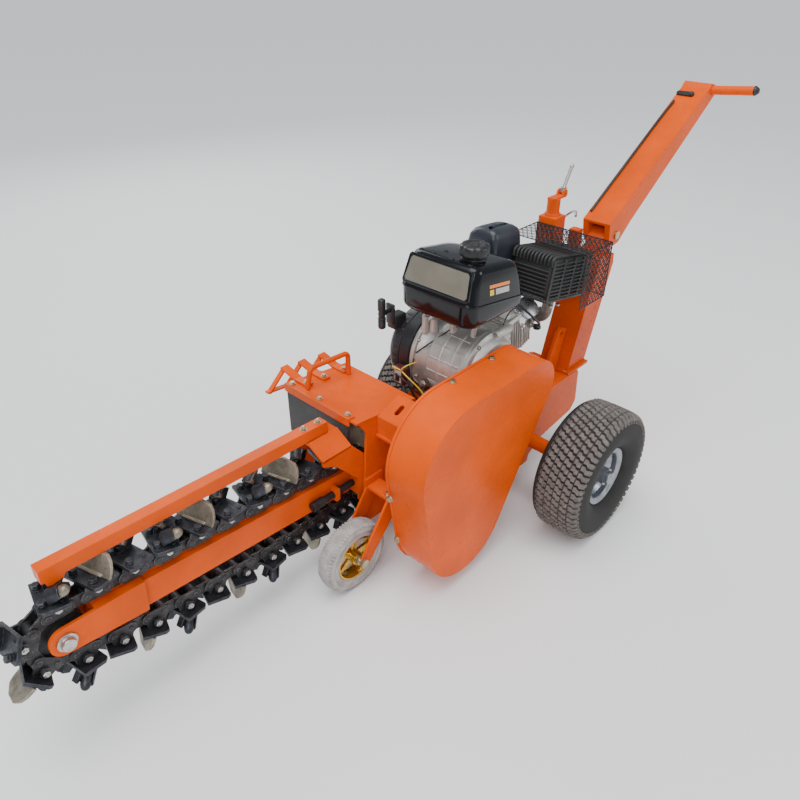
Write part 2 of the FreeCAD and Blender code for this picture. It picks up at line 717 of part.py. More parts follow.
def outer_link(pitch):
    """Two attachment plates with raised ears, and two pins."""
    half = pitch / 2
    shape = None
    for y in (-21, 17):
        low = stadium(pitch - 0.8, 27, y, 4, [])
        ear = Part.makePolygon([Vector(-27, y, 2), Vector(27, y, 2), Vector(19, y, 28), Vector(-19, y, 28),
                                Vector(-27, y, 2)])
        ear = Part.Face(ear).extrude(Vector(0, 4, 0))
        side = low.fuse(ear)
        shape = side if shape is None else shape.fuse(side)
    for x in (-half, half):
        shape = shape.fuse(Part.makeCylinder(5.4, 46, Vector(x, -23, 0), Vector(0, 1, 0)))
    for y, direction in ((-21, -1), (21, 1)):
        head = Part.makeCylinder(7.5, 6, Vector(0, y, 16), Vector(0, direction, 0))
        shape = shape.fuse(head)
    return shape


BASE_LOW = 28.2
BASE_TOP = 36.2


def extruded(points, direction):
    """A prism over a closed outline of points."""
    return Part.Face(Part.makePolygon(points + points[:1])).extrude(direction)


def cutter_base():
    """Base plate across an attachment link with its two bolts."""
    shape = extruded([Vector(-28, -40, BASE_LOW), Vector(-20, -46, BASE_LOW), Vector(28, -46, BASE_LOW),
                      Vector(28, 40, BASE_LOW), Vector(20, 46, BASE_LOW), Vector(-28, 46, BASE_LOW)],
                     Vector(0, 0, BASE_TOP - BASE_LOW))
    for y in (-26, 26):
        shape = shape.fuse(Part.makeCylinder(8, 6, Vector(16, y, BASE_TOP), Vector(0, 0, 1)))
    return shape


def flag_cutter():
    """Standing blade with clipped corners that leans away from the travel."""
    lean = -18
    blade = extruded([Vector(0, -50, 0), Vector(0, 50, 0), Vector(0, 50, 22), Vector(0, 34, 45),
                      Vector(0, -34, 45), Vector(0, -50, 22)], Vector(7, 0, 0))
    blade.rotate(Vector(0, 0, 0), Vector(0, 1, 0), lean)
    blade.translate(Vector(-14, 0, BASE_TOP + 0.4))
    sole = Part.makeBox(200, 200, 20, Vector(-100, -100, BASE_TOP - 19.8))
    return blade.cut(sole)


def cup_bit(side, radius):
    """Round bit splayed to one side and leaning away from the travel."""
    lean = Vector(-0.66, side * 0.52, 0.54).normalize()
    root = Vector(-4, side * 22, BASE_TOP + 13)
    bit = Part.makeCylinder(radius, 34, root, lean)
    return bit.fuse(Part.makeSphere(radius - 0.1, root + lean * 34))


def cup_holder(side):
    """Fin on the base plate that carries one bit."""
    y = side * 21 - 7
    top = BASE_TOP - 0.2
    fin = extruded([Vector(6, y, top), Vector(-26, y, top), Vector(-38, y, top + 22), Vector(-22, y, top + 32),
                    Vector(6, y, top + 12)], Vector(0, 14, 0))
    return fin.cut(cup_bit(side, 13.8))


def digging_chain():
    """Links, cutter bases and the two cutter patterns, one attachment every second link."""
    joints = chain_joints()
    count = len(joints)
    inner = inner_link(D["chain_pitch"])
    outer = outer_link(D["chain_pitch"])
    links = []
    bases = []
    flags = []
    cups = []
    for k in range(count):
        frame = link_frame(joints[k], joints[(k + 1) % count])
        shape = (inner if k % 2 == 0 else outer).copy()
        shape.Placement = frame
        links.append(shape)
        if k % 2 == 0:
            continue
        pattern = (k // 2) % 3
        skew = Placement(Vector(0, 0, 0), Rotation(Vector(0, 0, 1), (18, -12, 14)[pattern]))
        turned_frame = frame.multiply(skew)
        base = cutter_base()
        if pattern == 0:
            flag = flag_cutter()
            flag.Placement = turned_frame.multiply(flag.Placement)
            flags.append(flag)
        sides = ((), (-1, 1), (-1,))[pattern]
        for side in sides:
            cup = cup_bit(side, 13.5)
            cup.Placement = turned_frame
            cups.append(cup)
            base = base.fuse(cup_holder(side))
        base.Placement = turned_frame
        bases.append(base)
    node("digging_chain", made(Part.makeCompound(links)))
    node("cutter_bases", made(Part.makeCompound(bases)))
    node("flag_cutters", made(Part.makeCompound(flags)))
    node("cup_cutters", made(Part.makeCompound(cups)))


def head_sprocket():
    """Digging sprocket whose short teeth pass under the chain's rollers at any angle."""
    tip = HEAD_PITCH_RADIUS - ROLLER - 1.0
    root = tip - 5.5
    points = []
    for k in range(8):
        for offset, reach in ((-0.19, root), (-0.08, tip), (0.08, tip), (0.19, root)):
            turn = k * math.pi / 4 + offset
            points.append((HEAD.x + reach * math.cos(turn), HEAD.z + reach * math.sin(turn)))
    disc = plate(points, HEAD.y - 10, 20)
    hub = rod(30, 42, ("head_x", HEAD.y - 21, "head_z"))
    node("drive_sprocket", cut(fuse(disc, hub), rod(15, 60, ("head_x", HEAD.y - 30, "head_z"))))


def boom():
    """Box beam with its chain rail, the pivoting mount behind it and the tip in front."""
    half = 28.0
    tall = 35.0
    nose = D["boom_centres"]
    end = nose - 64
    shell = plate(boom_outline([(150, -tall), (end, -tall), (end, tall), (150, tall)]), HEAD.y - half, 2 * half)
    core = plate(boom_outline([(156, -tall + 6), (end - 6, -tall + 6), (end - 6, tall - 6), (156, tall - 6)]),
                 HEAD.y - half + 6, 2 * half - 12)
    start_up = HEAD_PITCH_RADIUS + 160 / nose * (D["nose_pitch_radius"] - HEAD_PITCH_RADIUS) - ROLLER - 0.4
    end_up = HEAD_PITCH_RADIUS + end / nose * (D["nose_pitch_radius"] - HEAD_PITCH_RADIUS) - ROLLER - 0.4
    rail = plate(boom_outline([(160, tall - 1), (end, tall - 1), (end, end_up), (160, start_up)]), HEAD.y - 11, 22)
    lug_spot = boom_point(212, -4)
    lug = box((14, 26, 34), (lug_spot.x - 7, HEAD.y - half - 25, lug_spot.z - 17))
    bolt_hole = rod(9.3, 40, (lug_spot.x - 20, HEAD.y - half - 13, lug_spot.z), "x")
    node("boom_beam", cut(fuse(cut(shell, core), rail, lug), bolt_hole))

    root = nose - 168
    waist = nose - 66
    cheek = boom_outline([(root, -40, 4), (nose + 32, -32, 31), (nose + 32, 32, 31), (root, 40, 4)])
    hole = boom_point(nose, 0)
    near = plate(cheek, HEAD.y - 36, 7, holes=[(hole.x, hole.z, 12.2)])
    far = plate(cheek, HEAD.y + 29, 7, holes=[(hole.x, hole.z, 12.2)])
    upper = plate(boom_outline([(root, 35.3), (waist, 35.3), (waist, 35.8), (root, 39.8)]), HEAD.y - 30, 16)
    lower = plate(boom_outline([(root, -39.8), (waist, -35.8), (waist, -35.3), (root, -35.3)]), HEAD.y - 30, 60)
    node("boom_tip", fuse(near, far, upper, lower))
    place = (hole.x, HEAD.y, hole.z)
    roller = cut(rod("nose_pitch_radius - 11.5", 24, (place[0], HEAD.y - 12, place[2])),
                 rod(12.05, 40, (place[0], HEAD.y - 20, place[2])))
    hubs = [ring(24, 12.05, 16, (place[0], HEAD.y + y, place[2])) for y in (-28, 12)]
    node("nose_roller", fuse(roller, *hubs))
    pin = rod(12, 80, (place[0], HEAD.y - 40, place[2]))
    cap = turned([(0, -53), (14, -53, 3), (15, -42), (20, -41.5), (20, -36.1), (0, -36.1)], place)
    nut = hexagon(20, 14, (place[0], HEAD.y + 36.1, place[2]))
    node("nose_bolt", fuse(pin, cap, nut))

    tension = [rod(9, 136, (lug_spot.x - 76, HEAD.y - half - 13, lug_spot.z), "x"),
               ring(12.4, 8, 34, (lug_spot.x - 76, HEAD.y - half - 13, lug_spot.z), "x"),
               hexagon(12.4, 12, (lug_spot.x + 7.2, HEAD.y - half - 13, lug_spot.z), "x")]
    node("tension_bolt", fuse(*tension))

    mount_near = [(-532, 196, 4), (-532, 268), (-606, 350, 4), (-642, 366, 4), (-642, 376, 4), (-546, 378, 4),
                  (-500, 326, 10), (-430, 292, 30), (-336, 262, 30), (-336, 200, 30), (-430, 176, 30)]
    mount_far = [(-532, 214, 4), (-532, 270, 4), (-430, 280, 30), (-336, 262, 30), (-336, 200, 30), (-430, 190, 30)]
    shaft_hole = (D["head_x"], D["head_z"], 15.05)
    near_cheek = plate(mount_near, 59.2, 6.6, holes=[shaft_hole])
    far_cheek = plate(mount_far, 180.5, 7, holes=[shaft_hole])
    bridge = plate(boom_outline([(104, -30), (149.5, -30), (149.5, 30), (104, 30)]), 61, 126)
    node("boom_mount", fuse(near_cheek, far_cheek, bridge))


def restraint():
    """Crumb bar above the chain, with its shoe, and the arm that carries it."""
    front = -1272.0
    length = 692.0
    tilt = Rotation(Vector(0, 1, 0), 1.6)
    wall = 3.0
    bar_y = HEAD.y - 15
    outer = box((length, 30, 30), (front, bar_y, 433.5), tilt)
    inner = box((length - 6, 24, 24), (front + 3, bar_y + wall, 436.4), tilt)
    shoe = plate([(-1266, 436), (-1226, 434), (-1232, 424, 3), (-1254, 420, 3), (-1264, 423, 2)], bar_y, 6)
    node("restraint_bar", fuse(cut(outer, inner), shoe))
    strap_turn = Rotation(Vector(1, 0, 0), 32)
    strap = box((92, 58, 7), (-644, 61, 379), strap_turn)
    seat = box((92, 34, 7), (-644, bar_y - 2, 406.2))
    node("restraint_arm", fuse(strap, seat))


# ---------------------------------------------------------------- front wheel fork
def fork():
    """Fork for the front wheel, bolted to the near wall; gives back its axle bolt and spacers."""
    fx = D["front_x"]
    fz = D["front_radius"]
    blade = [(fx - 20, fz - 18, 16), (fx + 20, fz - 18, 16), (-474, 222), (-474, 246), (-520, 246, 4)]
    hole = (fx, fz, 8.1)
    outer = plate(blade, D["front_y"] - 41, 7, holes=[hole])
    inner = plate(blade, D["front_y"] + 34, 7, holes=[hole])
    head = box((46, 82, 8), (-520, D["front_y"] - 41, 238))
    flange = box((60, 8, 70), (-522, 40.8, 196))
    node("wheel_fork", fuse(outer, inner, head, flange))
    bolt = rod(8, 94, (fx, D["front_y"] - 46, fz))
    heads = [hexagon(13, 9, (fx, D["front_y"] - 50.2, fz)), hexagon(13, 9, (fx, D["front_y"] + 41.2, fz))]
    spacers = [ring(13, 8.2, 9.7, (fx, D["front_y"] + y, fz)) for y in (-33.5, 23.8)]
    return [fuse(bolt, *heads)] + spacers


# ---------------------------------------------------------------- engine
def engine():
    """Horizontal-shaft engine: crankcase, cylinder, tank, intake, exhaust, starter."""
    cx = D["crank_x"]
    cz = D["crank_z"]
    base = D["engine_base"]
    face = D["engine_y"]
    blower_y = 138
    barrel = rod(104, blower_y - 16 - face, ("crank_x", face + 14, "crank_z"))
    cover = rod(92, 15, ("crank_x", "engine_y", "crank_z"))
    foot = box((176, 194, 74), (cx - 34, face + 16, "engine_base"))
    flange = rod(112, 12, ("crank_x", blower_y - 14, "crank_z"))
    sump_lip = box((236, 30, 12), (cx - 64, face + 26, "engine_base"))
    far_lip = box((236, 30, 12), (cx - 64, face + 204, "engine_base"))
    stub_hole = rod(13.2, 70, ("crank_x", face - 2, "crank_z"))
    node("crankcase", cut(fuse(barrel, cover, foot, flange, sump_lip, far_lip), stub_hole))

    lean = 6.0
    turn = Rotation(Vector(0, 1, 0), -lean)
    pieces = []

    def block(near, length, half_up, y, width):
        corner = turn_point(turn, (cx, 0, cz), (near, y, -half_up))
        return box((length, width, 2 * half_up), corner, turn)

    pieces.append(block(96, 154, 44, 12, 92))
    for k in range(9):
        pieces.append(block(112 + 11 * k, 4, 58, -4, 124))
    pieces.append(block(210, 42, 54, -4, 124))
    pieces.append(block(251, 28, 42, 8, 100))
    mouth = rod(106, 300, ("crank_x", -30, "crank_z"))
    node("cylinder", cut(fuse(*pieces), mouth))

    tank_side = [(-290, 650, 18), (-290, 672, 4), (-256, 790, 16), (-88, 768, 22), (-57, 672, 8), (-57, 650, 16),
                 (-170, 628, 60)]
    body = plate(tank_side, -80, 235)
    near_skirt = box((300, 20, 60), (-320, -100, 770), Rotation(Vector(1, 0, 0), -12))
    cap_x = -197
    cap_y = -11
    neck = rod(24, 27, (cap_x, cap_y, 770), "z")
    node("fuel_tank", fuse(cut(body, near_skirt), neck))
    knob = [(0, 789), (36, 789, 3), (38, 812, 5), (32, 818, 3), (0, 818)]
    cap = cut(turned(knob, (cap_x, cap_y, 0), "z"), rod(24.4, 13, (cap_x, cap_y, 785), "z"))
    lobes = [rod(9, 34, turn_point(Rotation(Vector(0, 0, 1), 60 * k), (cap_x, cap_y, 787), (42, 0, 0)), "z")
             for k in range(6)]
    node("fuel_cap", cut(cap, *lobes))

    air = [(-14, 646, 8), (-14, 778, 16), (60, 772, 24), (88, 750, 16), (88, 646, 8)]
    far_slope = box((120, 60, 30), (-24, 142, 780), Rotation(Vector(1, 0, 0), -22))
    node("air_cleaner", cut(plate(air, 61, 111), far_slope), box((60, 50, 66), (0, 78, 580)))

    centre = (154, 643)
    fall = 11.0
    shield = leaned([(-106, -64, 12), (-106, 64, 20), (106, 64, 16), (106, -64, 12)], centre, fall)
    cavity = leaned([(-103, -61, 9), (-103, 61, 17), (103, 61, 13), (103, -61, 9)], centre, fall)
    can = cut(plate(shield, -80, 138), plate(cavity, -77, 132))
    pipe_x = 104
    port_z = 506
    pipe = rod(16, 592 - port_z, (pipe_x, -40, port_z), "z")
    elbow = ball(16, (pipe_x, -40, port_z))
    port = rod(16, 33, (pipe_x, -40, port_z))
    flange_plate = box((52, 6, 40), (pipe_x - 30, -10.5, port_z - 20))
    node("muffler", fuse(can, pipe, elbow, port, flange_plate))

    rear_panel = mesh_panel(246, 160, (271.3, -126, 562), Rotation(Vector(1, 1, 1), 120))
    top_panel = mesh_panel(62, 246, (209, -126, 722.4), Rotation())
    near_panel = mesh_panel(60, 158, (210, -126, 562), Rotation(Vector(1, 0, 0), 90))
    node("mesh_guard", rear_panel, top_panel, near_panel)

    shell = [(0, blower_y), (116, blower_y, 4), (116, 196, 10), (104, 214, 10), (82, 232, 8), (0, 234)]
    snout = box((44, 36, 44), (cx - 112, 184, cz + 74))
    guide_plate = box((10, 30, 60), (cx - 118, 187, cz + 92))
    node("recoil_housing", fuse(turned(shell, ("crank_x", 0, "crank_z")), snout, guide_plate))
    bar = rod(11, 84, (-296, 202, 556), "z")
    stem = rod(6, 16.5, (-285.5, 202, 598), "x")
    node("recoil_handle", fuse(bar, stem))

    switch = [box((26, 38, 52), (-294, 128, 404)), rod(6, 8, (-301, 147, 432), "x")]
    node("switch_box", fuse(*switch))
    yellow = [(-304.5, 147, 440), (-312, 138, 452), (-308, 112, 440), (-294, 84, 412), (-276, 58, 384),
              (-264, 36, 372)]
    black = [(-288, 134, 402.5), (-290, 120, 378), (-293, 96, 366), (-286, 70, 366), (-270, 48, 360)]
    node("ignition_wires", cord("yellow_wire", yellow, 2.2), cord("black_wire", black, 2.6))


def leaned(outline, centre, degrees):
    """An outline given about a centre in the XZ plane, turned so that its +X end drops."""
    across = math.cos(math.radians(degrees))
    drop = math.sin(math.radians(degrees))
    points = []
    for x, z, *corner in outline:
        points.append((centre[0] + x * across + z * drop, centre[1] - x * drop + z * across, *corner))
    return points


def turn_point(turn, base, local):
    """A point given in turned axes about base."""
    spot = Vector(*base) + turn.multVec(Vector(*local))
    return (spot.x, spot.y, spot.z)


def mesh_panel(width, height, place, turn):
    """Expanded-metal panel: a thin plate with a field of diamond holes."""
    margin = 5.0
    step_a = 20.0
    step_b = 13.0
    shape = Part.makeBox(width, height, 2)
    columns = int((width - 2 * margin) // step_a)
    rows = int((height - 2 * margin) // step_b)
    shift_a = (width - columns * step_a) / 2
    shift_b = (height - rows * step_b) / 2
    holes = []
    for i in range(2 * columns - 1):
        for j in range(rows):
            a = shift_a + step_a * (i + 1) / 2
            b = shift_b + step_b * (j + 0.5 + (0.5 if i % 2 else 0))
            if b + step_b / 2 > height - margin:
                continue
            half_a = step_a / 2 - 1.6
            half_b = step_b / 2 - 1.1
            points = [Vector(a - half_a, b, -1), Vector(a, b - half_b, -1), Vector(a + half_a, b, -1),
                      Vector(a, b + half_b, -1), Vector(a - half_a, b, -1)]
            holes.append(Part.Face(Part.makePolygon(points)).extrude(Vector(0, 0, 4)))
    shape = shape.cut(Part.makeCompound(holes))
    shape.Placement = Placement(Vector(*place), turn)
    return made(shape)


# ---------------------------------------------------------------- handle
def handle():
    """Folding arm with its grip bar, throttle lever and cable."""
    near = D["column_y"]
    width = 86.0
    outline = [(356, 684, 20), (344, 739), (846, 1036), (858, 1050, 8), (890, 1042, 14), (893, 1012), (470, 721),
               (412, 672, 12), (380, 666, 20)]
    hollow = [(396, 750), (448, 716), (885, 1012), (886, 1034), (862, 1040), (846, 1028)]
    body = cut(plate(outline, near, width), plate(hollow, near + 4, width - 8))
    slot = plate([(300, 600), (300, 715), (372, 742), (440, 742), (470, 600)], near + 16.6, 52.8)
    pin_hole = rod(8.05, 120, ("hinge_x", near - 10, "hinge_z"))
    grip_hole = rod(13.8, 120, (871, near - 10, 1030))
    node("handle_arm", cut(body, slot, pin_hole, grip_hole))
    pin = rod(8, 96, ("hinge_x", near - 4, "hinge_z"))
    heads = [rod(12, 5, ("hinge_x", near - 5.2, "hinge_z")), rod(12, 5, ("hinge_x", near + width + 0.2, "hinge_z"))]
    bend = near - 6
    grip_end = (871, bend - 118, 1041.5)
    grip_route = [(871, near + width + 6, 1030), (871, bend, 1030), grip_end]
    bar = cord("grip_bar", grip_route, 13, share=0.3)
    outward = (Vector(*grip_end) - Vector(871, bend, 1030)).normalize()
    plug = cone(14.5, 7, 12, tuple(Vector(*grip_end) + outward * 0.2), turn=Rotation(Vector(0, 0, 1), outward))
    node("grip_bar", cut(bar, rod(9, 40, (871, near + width - 20, 1030))), plug)

    slope = math.atan2(1036 - 739, 846 - 344)
    along = Vector(math.cos(slope), 0, math.sin(slope))
    normal = Vector(-math.sin(slope), 0, math.cos(slope))

    def on_arm(distance, y, lift):
        spot = Vector(344, y, 739) + along * distance + normal * lift
        return (spot.x, spot.y, spot.z)

    route = [on_arm(30, 4, 4.4), on_arm(90, 4, 4.5), on_arm(150, 4.2, 4.6), on_arm(210, 3.8, 4.5),
             on_arm(270, 4.1, 4.4), on_arm(330, 4, 4.6), on_arm(390, 4.2, 4.5), on_arm(450, 3.8, 4.5),
             on_arm(510, 1, 4.5)]
    node("throttle_cable", cord("throttle_cable", route, 3.6))
    lever_turn = Rotation(Vector(0, 1, 0), -math.degrees(slope))
    lever = slab([(-9, -9, 8), (9, -9, 8), (7, 46, 6), (-7, 46, 6)], 5, on_arm(548, -34, 0.4), lever_turn)
    boss = slab([(-7, -7, 6.9), (7, -7, 6.9), (7, 7, 6.9), (-7, 7, 6.9)], 8, on_arm(548, -34, 0.4), lever_turn)
    node("throttle_lever", fuse(lever, boss))
    return fuse(pin, *heads)


def hand_pump():
    """Hydraulic hand pump that lowers the boom, its lever and its pipe."""
    body = box((56, 56, 172), (274, 62, 569.2))
    neck = rod(19, 50, (302, 90, 741), "z")
    collar = rod(23, 7, (302, 90, 741), "z")
    cap = box((60, 26, 6), (286, 77, 788))
    ears = [plate([(326, 790, 2), (352, 790, 3), (352, 809, 9), (334, 809, 6)], y, 5) for y in (78, 97)]
    pin = rod(4, 28, (343, 76, 801))
    node("hand_pump", fuse(body, neck, collar, cap, pin, *ears))
    lever_turn = Rotation(Vector(0, 1, 0), 28)
    tongue = plate([(336.5, 794.6, 6), (349.5, 794.6, 6), (355, 812, 4), (343, 816, 4)], 83.4, 13.2,
                   holes=[(343, 801, 4.05)])
    stick = rod(5, 66, (346, 90, 808), turn=lever_turn)
    knob = ball(7, turn_point(lever_turn, (346, 90, 808), (0, 0, 66)))
    node("pump_lever", fuse(tongue, stick, knob))
    route = [(331.4, 84, 716), (350, 84, 720), (362, 74, 734), (362, 58, 746), (352, 42, 750), (338, 34, 742)]
    node("hydraulic_pipe", cord("hydraulic_pipe", route, 3.6))


# ---------------------------------------------------------------- fasteners
def bolt(place, axis, size=8.0, height=6.0, washer=2.0):
    """Hexagon head on a washer, standing along +axis or, with a leading minus, against it."""
    direction = -1 if axis.startswith("-") else 1
    letter = axis[-1]
    index = "xyz".index(letter)
    washer_place = list(place)
    head_place = list(place)
    if direction > 0:
        head_place[index] = place[index] + washer
    else:
        washer_place[index] = place[index] - washer
        head_place[index] = place[index] - washer - height
    return fuse(rod(size * 1.25, washer, washer_place, letter), hexagon(size, height, head_place, letter))


def fasteners(larger):
    """Bolt heads that hold the frame, the guard, the deck and the engine, with the larger pins."""
    bolts = list(larger)
    strip_x = D["deck_front_x"] + 7.5
    strip_z = deck_height(strip_x) + 5.6
    for y in (88, 190, 296):
        bolts.append(bolt((strip_x, y, strip_z + 1), "z", 6, 5, 1.5))
    for x in (-500, -441, -370):
        bolts.append(bolt((x, 279, deck_height(x) + 7), "z", 6, 4.5, 1.5))
    bolts.append(bolt((-440, -31, 385.2), "z", 7, 5, 1.5))
    for x in (-372, -222):
        bolts.append(bolt((x, -103, 552.3), "z", 7, 5, 1.5))
    for x, z in ((-583, 330), (-560, 186)):
        bolts.append(bolt((x, -103, z), "-x", 7, 5, 1.5))
    foot_z = D["chassis_top"] + 9.2
    for y in (-68, 24):
        bolts.append(bolt((217.0, y, foot_z), "z", 4, 3, 1))
    for x, y in ((-200, -35), (-200, 143), (8, -35), (8, 143)):
        bolts.append(bolt((x, y, D["engine_base"] + 12.2), "z", 8, 7, 2))
    for x in (-506, -488):
        bolts.append(bolt((x, -20, 246.2), "z", 7, 6, 2))
    node("frame_bolts", *bolts)


def spoil_auger():
    """Auger on the head shaft's far end that clears spoil to the side."""
    core = Part.makeCylinder(24, 46, Vector(HEAD.x, 319, HEAD.z), Vector(0, 1, 0))
    core = core.cut(Part.makeCylinder(15, 50, Vector(HEAD.x, 317, HEAD.z), Vector(0, 1, 0)))
    helix = Part.makeHelix(36, 36, 50)
    profile = Part.makePolygon([Vector(22, 0, -2.5), Vector(76, 0, -2.5), Vector(76, 0, 2.5), Vector(22, 0, 2.5),
                                Vector(22, 0, -2.5)])
    flight = helix.makePipeShell([profile], True, True)
    flight = Part.Solid(Part.Shell(flight.Faces)) if not flight.Solids else flight
    flight.Placement = Placement(Vector(HEAD.x, 324, HEAD.z), facing("y"))
    node("spoil_auger", made(core.fuse(flight)))


# ---------------------------------------------------------------- build, check, write
tyre("near_tyre", "-track_half")
tyre("far_tyre", "track_half")
rim("near_rim", "-track_half", -1)
rim("far_rim", "track_half", 1)
front_wheel()
chassis()
column()
head_housing()
deck()
auger_guard()
slot_bracket()
belt_guard()
drive_train()
digging_chain()
head_sprocket()
spoil_auger()
boom()
restraint()
axle_pieces = fork()
engine()
hinge_pin = handle()
hand_pump()
fasteners(axle_pieces + [hinge_pin])
doc.recompute()

failures = ["%s %s" % (obj.Name, obj.Label) for obj in doc.Objects if {"Invalid", "Error"} & set(obj.State)]
for obj in NODES:
    if obj.Shape.isNull() or not obj.Shape.isValid() or not obj.Shape.Solids:
        failures.append("sub-part " + obj.Label)
if failures:
    raise RuntimeError("not valid: " + ", ".join(failures))

whole = FreeCAD.BoundBox()
os.makedirs("parts", exist_ok=True)
for obj in NODES:
    whole.add(obj.Shape.BoundBox)
    obj.Shape.exportStep("parts/" + obj.Label + ".step")
print("%d nodes, X %.1f to %.1f, Y %.1f to %.1f, Z %.1f to %.1f" % (
    len(NODES), whole.XMin, whole.XMax, whole.YMin, whole.YMax, whole.ZMin, whole.ZMax))
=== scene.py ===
"""Looks of a walk-behind chain trencher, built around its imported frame.

Lengths are in millimetres about the rear axle line, as in the model, and at() turns them into the
frame's metres. X runs to the rear, Y to the far side and Z up. Each group of pieces has its own
function, and so has each material.
"""
import bisect
import math
import random

import bmesh
import bpy
from mathutils import Matrix, Vector


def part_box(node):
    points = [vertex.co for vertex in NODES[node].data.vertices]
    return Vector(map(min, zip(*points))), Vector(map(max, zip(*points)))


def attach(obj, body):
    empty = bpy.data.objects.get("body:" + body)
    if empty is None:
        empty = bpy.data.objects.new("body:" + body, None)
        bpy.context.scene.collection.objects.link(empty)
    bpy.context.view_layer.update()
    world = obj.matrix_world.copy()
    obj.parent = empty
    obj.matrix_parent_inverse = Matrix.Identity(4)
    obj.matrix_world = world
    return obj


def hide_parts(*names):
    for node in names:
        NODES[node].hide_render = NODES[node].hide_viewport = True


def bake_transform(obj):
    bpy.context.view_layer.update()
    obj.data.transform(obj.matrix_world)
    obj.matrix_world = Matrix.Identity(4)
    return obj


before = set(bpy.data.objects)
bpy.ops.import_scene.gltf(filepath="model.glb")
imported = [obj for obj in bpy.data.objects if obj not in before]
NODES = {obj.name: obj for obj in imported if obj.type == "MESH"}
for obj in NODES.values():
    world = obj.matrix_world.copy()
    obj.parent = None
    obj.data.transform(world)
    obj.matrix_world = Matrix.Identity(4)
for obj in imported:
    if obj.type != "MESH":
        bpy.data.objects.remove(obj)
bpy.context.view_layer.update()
MM = 0.001
BACK = Vector((1, 0, 0))
FAR = Vector((0, 1, 0))
NEAR = Vector((0, -1, 0))
UP = Vector((0, 0, 1))


def middle(name):
    """Centre of a CAD node's box, in the frame's metres."""
    low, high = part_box(name)
    return (low + high) / 2


AXLE = middle("near_tyre").x


def at(x, y, z):
    """A point given in millimetres about the rear axle line."""
    return Vector((AXLE + x * MM, y * MM, z * MM))


def in_millimetres(box):
    """Low and high corners of a box, in millimetres about the rear axle line."""
    low, high = box
    axle = Vector((AXLE, 0, 0))
    return (low - axle) / MM, (high - axle) / MM


def spoke(angle):
    """Unit vector square to the Y axis, at an angle from X towards Z."""
    return Vector((math.cos(angle), 0, math.sin(angle)))


def tilt(degrees):
    """A turn about the Y axis."""
    return Matrix.Rotation(math.radians(degrees), 3, "Y")


# ------------------------------------------------------------------ node helpers
class Shader:
    """A small wrapper that keeps a material's node code short."""

    def __init__(self, name):
        self.material = bpy.data.materials.new(name)
        self.material.use_nodes = True
        self.tree = self.material.node_tree
        self.surface = self.tree.nodes["Principled BSDF"]
        self.place = self.tree.nodes.new("ShaderNodeTexCoord").outputs["Object"]

    def add(self, kind, settings=None, **inputs):
        made = self.tree.nodes.new(kind)
        for key, value in (settings or {}).items():
            setattr(made, key, value)
        for key, value in inputs.items():
            self.feed(made, key.replace("_", " "), value)
        return made

    def feed(self, made, key, value):
        socket = made.inputs[int(key)] if key.isdigit() else made.inputs[key]
        if isinstance(value, bpy.types.NodeSocket):
            self.tree.links.new(value, socket)
        else:
            socket.default_value = value

    def noise(self, scale, detail=3.0, rough=0.55, place=None):
        made = self.add("ShaderNodeTexNoise", Scale=scale, Detail=detail, Roughness=rough)
        self.tree.links.new(place or self.place, made.inputs["Vector"])
        return made.outputs["Fac"]

    def ramp(self, value, low, high, start=0.0, end=1.0):
        made = self.add("ShaderNodeMapRange", {"clamp": True})
        self.tree.links.new(value, made.inputs["Value"])
        for key, number in zip(("From Min", "From Max", "To Min", "To Max"), (low, high, start, end)):
            made.inputs[key].default_value = number
        return made.outputs["Result"]

    def mix(self, share, first, second):
        made = self.add("ShaderNodeMix", {"data_type": "RGBA"})
        for index, value in ((0, share), (6, first), (7, second)):
            if isinstance(value, bpy.types.NodeSocket):
                self.tree.links.new(value, made.inputs[index])
            else:
                made.inputs[index].default_value = value if index == 0 else tuple(value) + (1.0,)
        return made.outputs[2]

    def math(self, kind, first, second):
        made = self.add("ShaderNodeMath", {"operation": kind, "use_clamp": True})
        self.feed(made, "0", first)
        self.feed(made, "1", second)
        return made.outputs[0]

    def edges(self, radius, low=0.02, high=0.22):
        """1 near the edges of the mesh, 0 on its flats."""
        rounded = self.add("ShaderNodeBevel", {"samples": 4}, Radius=radius)
        flat = self.add("ShaderNodeNewGeometry")
        dot = self.add("ShaderNodeVectorMath", {"operation": "DOT_PRODUCT"})
        self.tree.links.new(rounded.outputs[0], dot.inputs[0])
        self.tree.links.new(flat.outputs["Normal"], dot.inputs[1])
        return self.ramp(dot.outputs["Value"], 1.0 - low, 1.0 - high)

    def bump(self, height, strength, distance, radius=None):
        made = self.add("ShaderNodeBump", Strength=strength, Distance=distance)
        self.tree.links.new(height, made.inputs["Height"])
        if radius:
            rounded = self.add("ShaderNodeBevel", {"samples": 4}, Radius=radius)
            self.tree.links.new(rounded.outputs[0], made.inputs["Normal"])
        self.tree.links.new(made.outputs[0], self.surface.inputs["Normal"])

    def finish(self, colour, roughness, metallic=0.0, coat=0.0, coat_roughness=0.1, specular=0.5):
        self.feed(self.surface, "Base Color", colour if isinstance(colour, bpy.types.NodeSocket)
                  else tuple(colour) + (1.0,))
        self.feed(self.surface, "Roughness", roughness)
        self.feed(self.surface, "Metallic", metallic)
        self.surface.inputs["Coat Weight"].default_value = coat
        self.surface.inputs["Coat Roughness"].default_value = coat_roughness
        self.surface.inputs["Specular IOR Level"].default_value = specular
        return self.material


